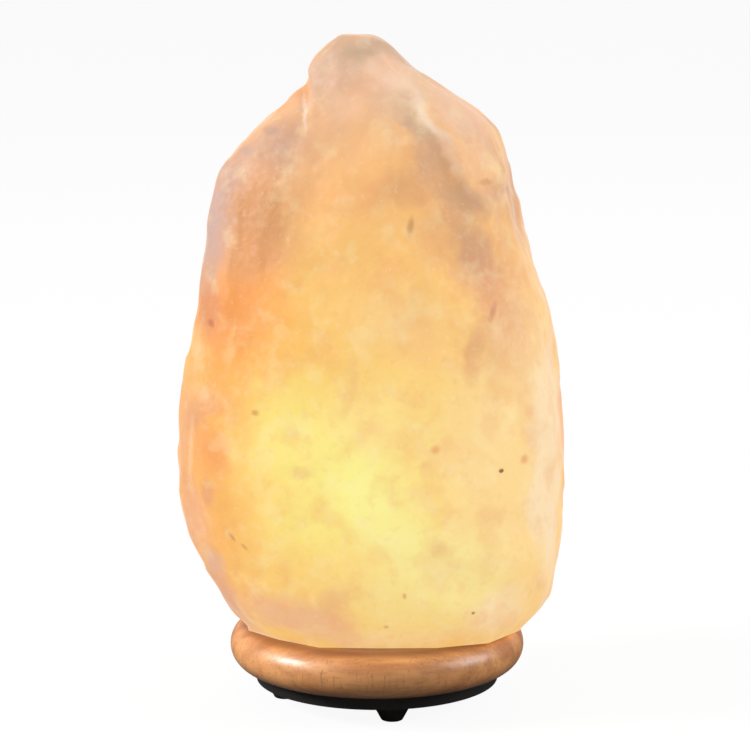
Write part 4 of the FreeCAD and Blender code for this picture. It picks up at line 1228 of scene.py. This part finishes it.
    def points(self) -> np.ndarray:
        """The whole surface: top, side, foot, hollow and its drilled end.

        The softened side and top are moved along their normals by the relief,
        which fades out within the last millimetres above the foot.

        Returns:
            Rows by columns by three, in millimetres.
        """
        side = self.side()
        inward = np.linspace(0.0, 1.0, self.top_rows, endpoint=False)[:, None, None]
        peak = side[0].mean(0)
        top = peak + (side[0] - peak) * inward
        skin = softened(np.concatenate([top, side]), self.soft_up, self.soft_round)
        skin[-1] = side[-1]
        down = np.gradient(skin, axis=0)
        around = (np.roll(skin, -1, axis=1) - np.roll(skin, 1, axis=1)) / 2
        normal = np.cross(down, around)
        normal /= np.maximum(np.linalg.norm(normal, axis=-1, keepdims=True), SMALLEST)
        normal[0] = (0.0, 0.0, 1.0)
        clear = np.clip((skin[..., 2] - self.foot) / self.relief_fade, 0.0, 1.0)
        skin = skin + normal * (self.relief(skin) * clear)[..., None]
        lowest, highest = (np.array(corner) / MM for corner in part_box("salt_crystal"))
        skin = np.clip(skin, lowest, highest)

        edge = skin[-1]
        turn = np.arctan2(edge[:, 1], edge[:, 0])
        mouth = np.stack([
            self.bore_radius * np.cos(turn), self.bore_radius * np.sin(turn), edge[:, 2],
        ], axis=-1)
        share = np.linspace(0.0, 1.0, self.foot_rows + 2)[1:-1, None, None]
        foot = edge * (1 - share) + mouth * share
        rise = np.linspace(0.0, self.bore_depth, self.bore_rows)[:, None, None]
        bore = mouth + rise * np.array([0.0, 0.0, 1.0])
        tip = np.array([0.0, 0.0, self.foot + self.bore_depth + self.drill_point])
        share = np.linspace(0.0, 1.0, self.end_rows + 1)[1:, None, None]
        end = bore[-1] * (1 - share) + tip * share
        return np.concatenate([skin, foot, bore, end])

    def build(self) -> bpy.types.Object:
        """Makes the crystal's mesh, in the place of its solid.

        Returns:
            The new piece.
        """
        crystal = surface_object("salt_crystal_hewn", self.points(), self.sharp_angle)
        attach(crystal, "lamp")
        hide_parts("salt_crystal")
        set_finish(crystal, "rock_salt")
        return crystal


# ---------------- the bulb

@dataclass
class Bulb:
    """The screw-in bulb: a blown pear, a threaded cap and a coiled filament."""

    bottom: float = 25.4
    neck_radius: float = 5.2
    wide_radius: float = 11.0
    wall: float = 0.8
    neck_start: float = 8.0
    shoulder_start: float = 17.0
    shoulder_end: float = 29.0
    length: float = 60.0
    cap_start: float = 4.7
    cap_height: float = 12.3
    cap_radius: float = 5.9
    cap_wall: float = 0.4
    cap_fillet: float = 0.6
    cap_chamfer: float = 0.5
    cap_land: float = 0.1
    cap_rise: float = 0.25
    thread_depth: float = 0.45
    thread_pitch: float = 2.54
    # Free heights between the thread and the cap's lower and upper edge.
    thread_below: float = 0.6
    thread_above: float = 1.2
    lip_height: float = 0.9
    filament_height: float = 46.0
    filament_radius: float = 5.0
    coil_radius: float = 0.26
    wire_radius: float = 0.09
    coil_turns: int = 34
    gap_angle: float = 5.0
    columns: int = 72
    glass_rows: int = 22
    thread_rows: int = 74
    coil_steps: int = 12
    wire_sides: int = 7

    def pear(self, shrink: float) -> np.ndarray:
        """Profile of the envelope from its pole down to its neck.

        A quarter circle leads into a straight wall, and the shoulder is
        3t^2 - 2t^3 between the wide radius and the neck.

        Args:
            shrink: Distance inside the outer surface.

        Returns:
            Rows of (radius, height).
        """
        wide = self.wide_radius - shrink
        neck = self.neck_radius - shrink
        centre = self.bottom + self.length - self.wide_radius
        top = arc((0.0, centre), wide, 90.0, 0.0, self.glass_rows)
        part = np.linspace(0.0, 1.0, self.glass_rows)[:, None]
        ease = part * part * (3 - 2 * part)
        fall = self.shoulder_end - self.shoulder_start
        shoulder = np.hstack([
            wide + (neck - wide) * ease, self.bottom + self.shoulder_end - fall * part,
        ])
        return np.vstack([top, shoulder, (neck, self.bottom + self.neck_start)])

    def build_glass(self) -> bpy.types.Object:
        """Makes the blown envelope, its outside and inside joined at the neck.

        Returns:
            The new piece.
        """
        profile = np.vstack([self.pear(0.0), self.pear(self.wall)[::-1]])
        glass = surface_object("bulb_glass_blown", turned(profile, self.columns))
        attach(glass, "bulb")
        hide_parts("bulb_glass")
        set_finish(glass, "clear_glass")
        return glass

    def threaded(self, radius: float, low: float, high: float) -> np.ndarray:
        """A wall with a rolled thread, from its lower to its upper edge.

        The crest is at `radius` and the root one thread depth inside, on a
        cosine of height / pitch - turn, and the wave eases out at both ends.

        Args:
            radius: Radius of the crests.
            low: Height of the cap's lower edge.
            high: Height of the cap's upper edge.

        Returns:
            Rows by columns by three, in millimetres.
        """
        start, end = low + self.thread_below, high - self.thread_above
        height = np.linspace(start, high - self.lip_height, self.thread_rows)[:, None]
        turn = FULL_TURN * np.arange(self.columns) / self.columns
        wave = (1 + np.cos(FULL_TURN * height / self.thread_pitch - turn)) / 2
        fade = np.clip(np.minimum(height - start, end - height) / (self.thread_pitch / 2), 0.0, 1.0)
        wall = radius - self.thread_depth * (1 - wave * fade)
        return turned(np.stack([wall, height + 0 * wall], axis=-1), self.columns)

    def build_cap(self) -> bpy.types.Object:
        """Makes the brass cap: a thin threaded cup, closed at the bottom.

        Returns:
            The new piece.
        """
        low = self.bottom + self.cap_start
        high = low + self.cap_height
        plain = self.cap_radius - self.thread_depth
        inner = plain - self.cap_wall
        floor = low + self.cap_wall
        hollow = np.array([
            (0.0, floor), (inner - self.cap_fillet, floor),
            (inner - self.cap_fillet / 3, floor + self.cap_fillet / 3), (inner, floor + self.cap_fillet),
        ])
        lip = np.array([(inner, high), (plain, high)])
        under = np.array([
            (plain - self.cap_land, low + self.cap_rise), (plain - self.cap_chamfer, low), (0.0, low),
        ])
        rows = np.concatenate([
            turned(hollow, self.columns),
            self.threaded(self.cap_radius - self.cap_wall, low, high),
            turned(lip, self.columns),
            self.threaded(self.cap_radius, low, high)[::-1],
            turned(under, self.columns),
        ])
        cap = surface_object("bulb_cap_threaded", rows)
        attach(cap, "bulb")
        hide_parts("bulb_cap")
        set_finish(cap, "brass")
        return cap

    def build_filament(self) -> bpy.types.Object:
        """Makes the coiled filament on its half ring.

        The coil's middle runs on a circle about the axis, and the wire lies
        coil_radius from it, at an angle that grows coil_turns times round.

        Returns:
            The new piece.
        """
        share = np.linspace(0.0, 1.0, self.coil_turns * self.coil_steps + 1)
        angle = np.radians(180 + self.gap_angle + (180 - 2 * self.gap_angle) * share)
        outward = np.stack([np.cos(angle), np.sin(angle), 0 * angle], axis=-1)
        forward = np.stack([-np.sin(angle), np.cos(angle), 0 * angle], axis=-1)
        middle = self.filament_radius * outward
        middle[:, 2] = self.bottom + self.filament_height
        coil = FULL_TURN * self.coil_turns * share[:, None]
        upward = np.array([0.0, 0.0, 1.0])
        path = middle + self.coil_radius * (np.cos(coil) * outward + np.sin(coil) * upward)
        tube = swept(path, forward, self.wire_radius, self.wire_sides)
        wire = surface_object("filament_coiled", tube)
        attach(wire, "bulb")
        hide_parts("bulb_filament")
        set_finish(wire, "tungsten")
        return wire


# ---------------- the studio

@dataclass(frozen=True)
class SoftLamp:
    """A round area lamp that is aimed at the middle of the salt lamp.

    Place and diameter are in metres and the power is in watts.
    """

    name: str
    place: Point
    diameter: float
    power: float
    aim: Point = (0.0, 0.0, 0.11)

    def build(self) -> None:
        """Makes the lamp."""
        light = bpy.data.lights.new(self.name, "AREA")
        light.shape = "DISK"
        light.size = self.diameter
        light.energy = self.power
        holder = bpy.data.objects.new(self.name, light)
        bpy.context.scene.collection.objects.link(holder)
        holder.location = self.place
        x, y, z = np.array(self.aim) - np.array(self.place)
        holder.rotation_euler = (math.atan2(math.hypot(x, y), -z), 0.0, math.atan2(-x, y))


@dataclass
class Studio:
    """A plain pale floor, soft light and the camera, in metres."""

    floor_radius: float = 9.0
    floor_depth: float = 0.03
    floor_columns: int = 96
    # Grey that lights the lamp from below, and grey that is seen.
    floor_dim: float = 0.16
    floor_pale: float = 0.95
    floor_glow: float = 0.93
    sky_strength: float = 0.36
    lamps: tuple[SoftLamp, ...] = (
        SoftLamp("key", (-1.5, -0.30, 0.9), 0.6, 35.0),
        SoftLamp("fill", (1.5, -0.20, 0.8), 0.9, 17.0),
        SoftLamp("rear", (0.4, 1.3, 1.3), 1.2, 5.0),
    )
    camera_place: Point = (0.0, -1.000, 0.2946)
    camera_pitch: float = 10.3
    lens: float = 142.2
    sensor: float = 36.0
    frame_shift: float = -2 / 750
    far_clip: float = 100.0

    def build_floor(self) -> None:
        """Makes the round floor that reaches past the camera's view."""
        reach, under = self.floor_radius / MM, -self.floor_depth / MM
        profile = np.array([(0.0, 0.0), (reach, 0.0), (reach, under), (0.0, under)])
        floor = surface_object("floor", turned(profile, self.floor_columns))
        material, tree, shader = new_material("studio_floor_white")
        path = add(tree, "LightPath")
        seen = add(tree, "Math", {
            0: path.outputs["Is Camera Ray"], 1: path.outputs["Is Transmission Ray"],
        }, operation="MAXIMUM").outputs[0]
        tone = add(tree, "MapRange", {"Value": seen, **eased(0.0, 1.0, self.floor_dim, self.floor_pale)})
        feed(tree, shader, {
            "Base Color": tone.outputs[0], "Roughness": 0.9, "Specular IOR Level": 0.0,
        })
        white = add(tree, "Emission", {"Color": WHITE, "Strength": 1.0})
        part = add(tree, "Math", {0: seen, 1: self.floor_glow}, operation="MULTIPLY")
        mixed = add(tree, "MixShader", {0: part.outputs[0], 1: shader.outputs[0], 2: white.outputs[0]})
        feed(tree, tree.nodes["Material Output"], {"Surface": mixed.outputs[0]})
        dress(floor, material)

    def build_sky(self) -> None:
        """Lights the scene evenly, with a sky that the camera sees as white."""
        world = bpy.data.worlds.new("studio_sky")
        bpy.context.scene.world = world
        world.use_nodes = True
        tree = world.node_tree
        plain = tree.nodes["Background"]
        feed(tree, plain, {"Color": WHITE, "Strength": self.sky_strength})
        white = add(tree, "Background", {"Color": WHITE, "Strength": 1.0})
        mixed = add(tree, "MixShader", {
            0: add(tree, "LightPath").outputs["Is Camera Ray"], 1: plain.outputs[0], 2: white.outputs[0],
        })
        feed(tree, tree.nodes["World Output"], {"Surface": mixed.outputs[0]})

    def build_camera(self) -> None:
        """Places the camera at the photograph's angle."""
        camera = bpy.data.cameras.new("camera")
        camera.lens = self.lens
        camera.sensor_width = self.sensor
        camera.shift_x = self.frame_shift
        camera.clip_end = self.far_clip
        holder = bpy.data.objects.new("camera", camera)
        bpy.context.scene.collection.objects.link(holder)
        holder.location = self.camera_place
        holder.rotation_euler = (math.radians(90 - self.camera_pitch), 0.0, 0.0)
        bpy.context.scene.camera = holder

    def build(self) -> None:
        """Builds floor, light and camera, and sets plain colour management."""
        self.build_floor()
        self.build_sky()
        for lamp in self.lamps:
            lamp.build()
        self.build_camera()
        bpy.context.scene.view_settings.view_transform = "Standard"


# ---------------- main

def main() -> None:
    """Builds the lamp's pieces in order and dresses every piece."""
    logging.basicConfig(level=logging.INFO, format="%(name)s: %(message)s")
    Studio().build()
    bulb = Bulb()
    made = [SaltCrystal().build(), bulb.build_glass(), bulb.build_cap(), bulb.build_filament()]
    for piece in made:
        REPORT.info("%s has %d faces", piece.name, len(piece.data.polygons))

    materials = {finish.slot: finish.build() for finish in FINISHES}
    for piece in made:
        dress(piece, materials[Slot(piece["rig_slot"])])
    for name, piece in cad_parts.items():
        slot = Slot(piece.data.materials[0].name.split(".")[0])
        dress(piece, materials[slot])
        REPORT.info("%s is dressed in %s", name, slot.value)


if __name__ == "__main__":
    main()
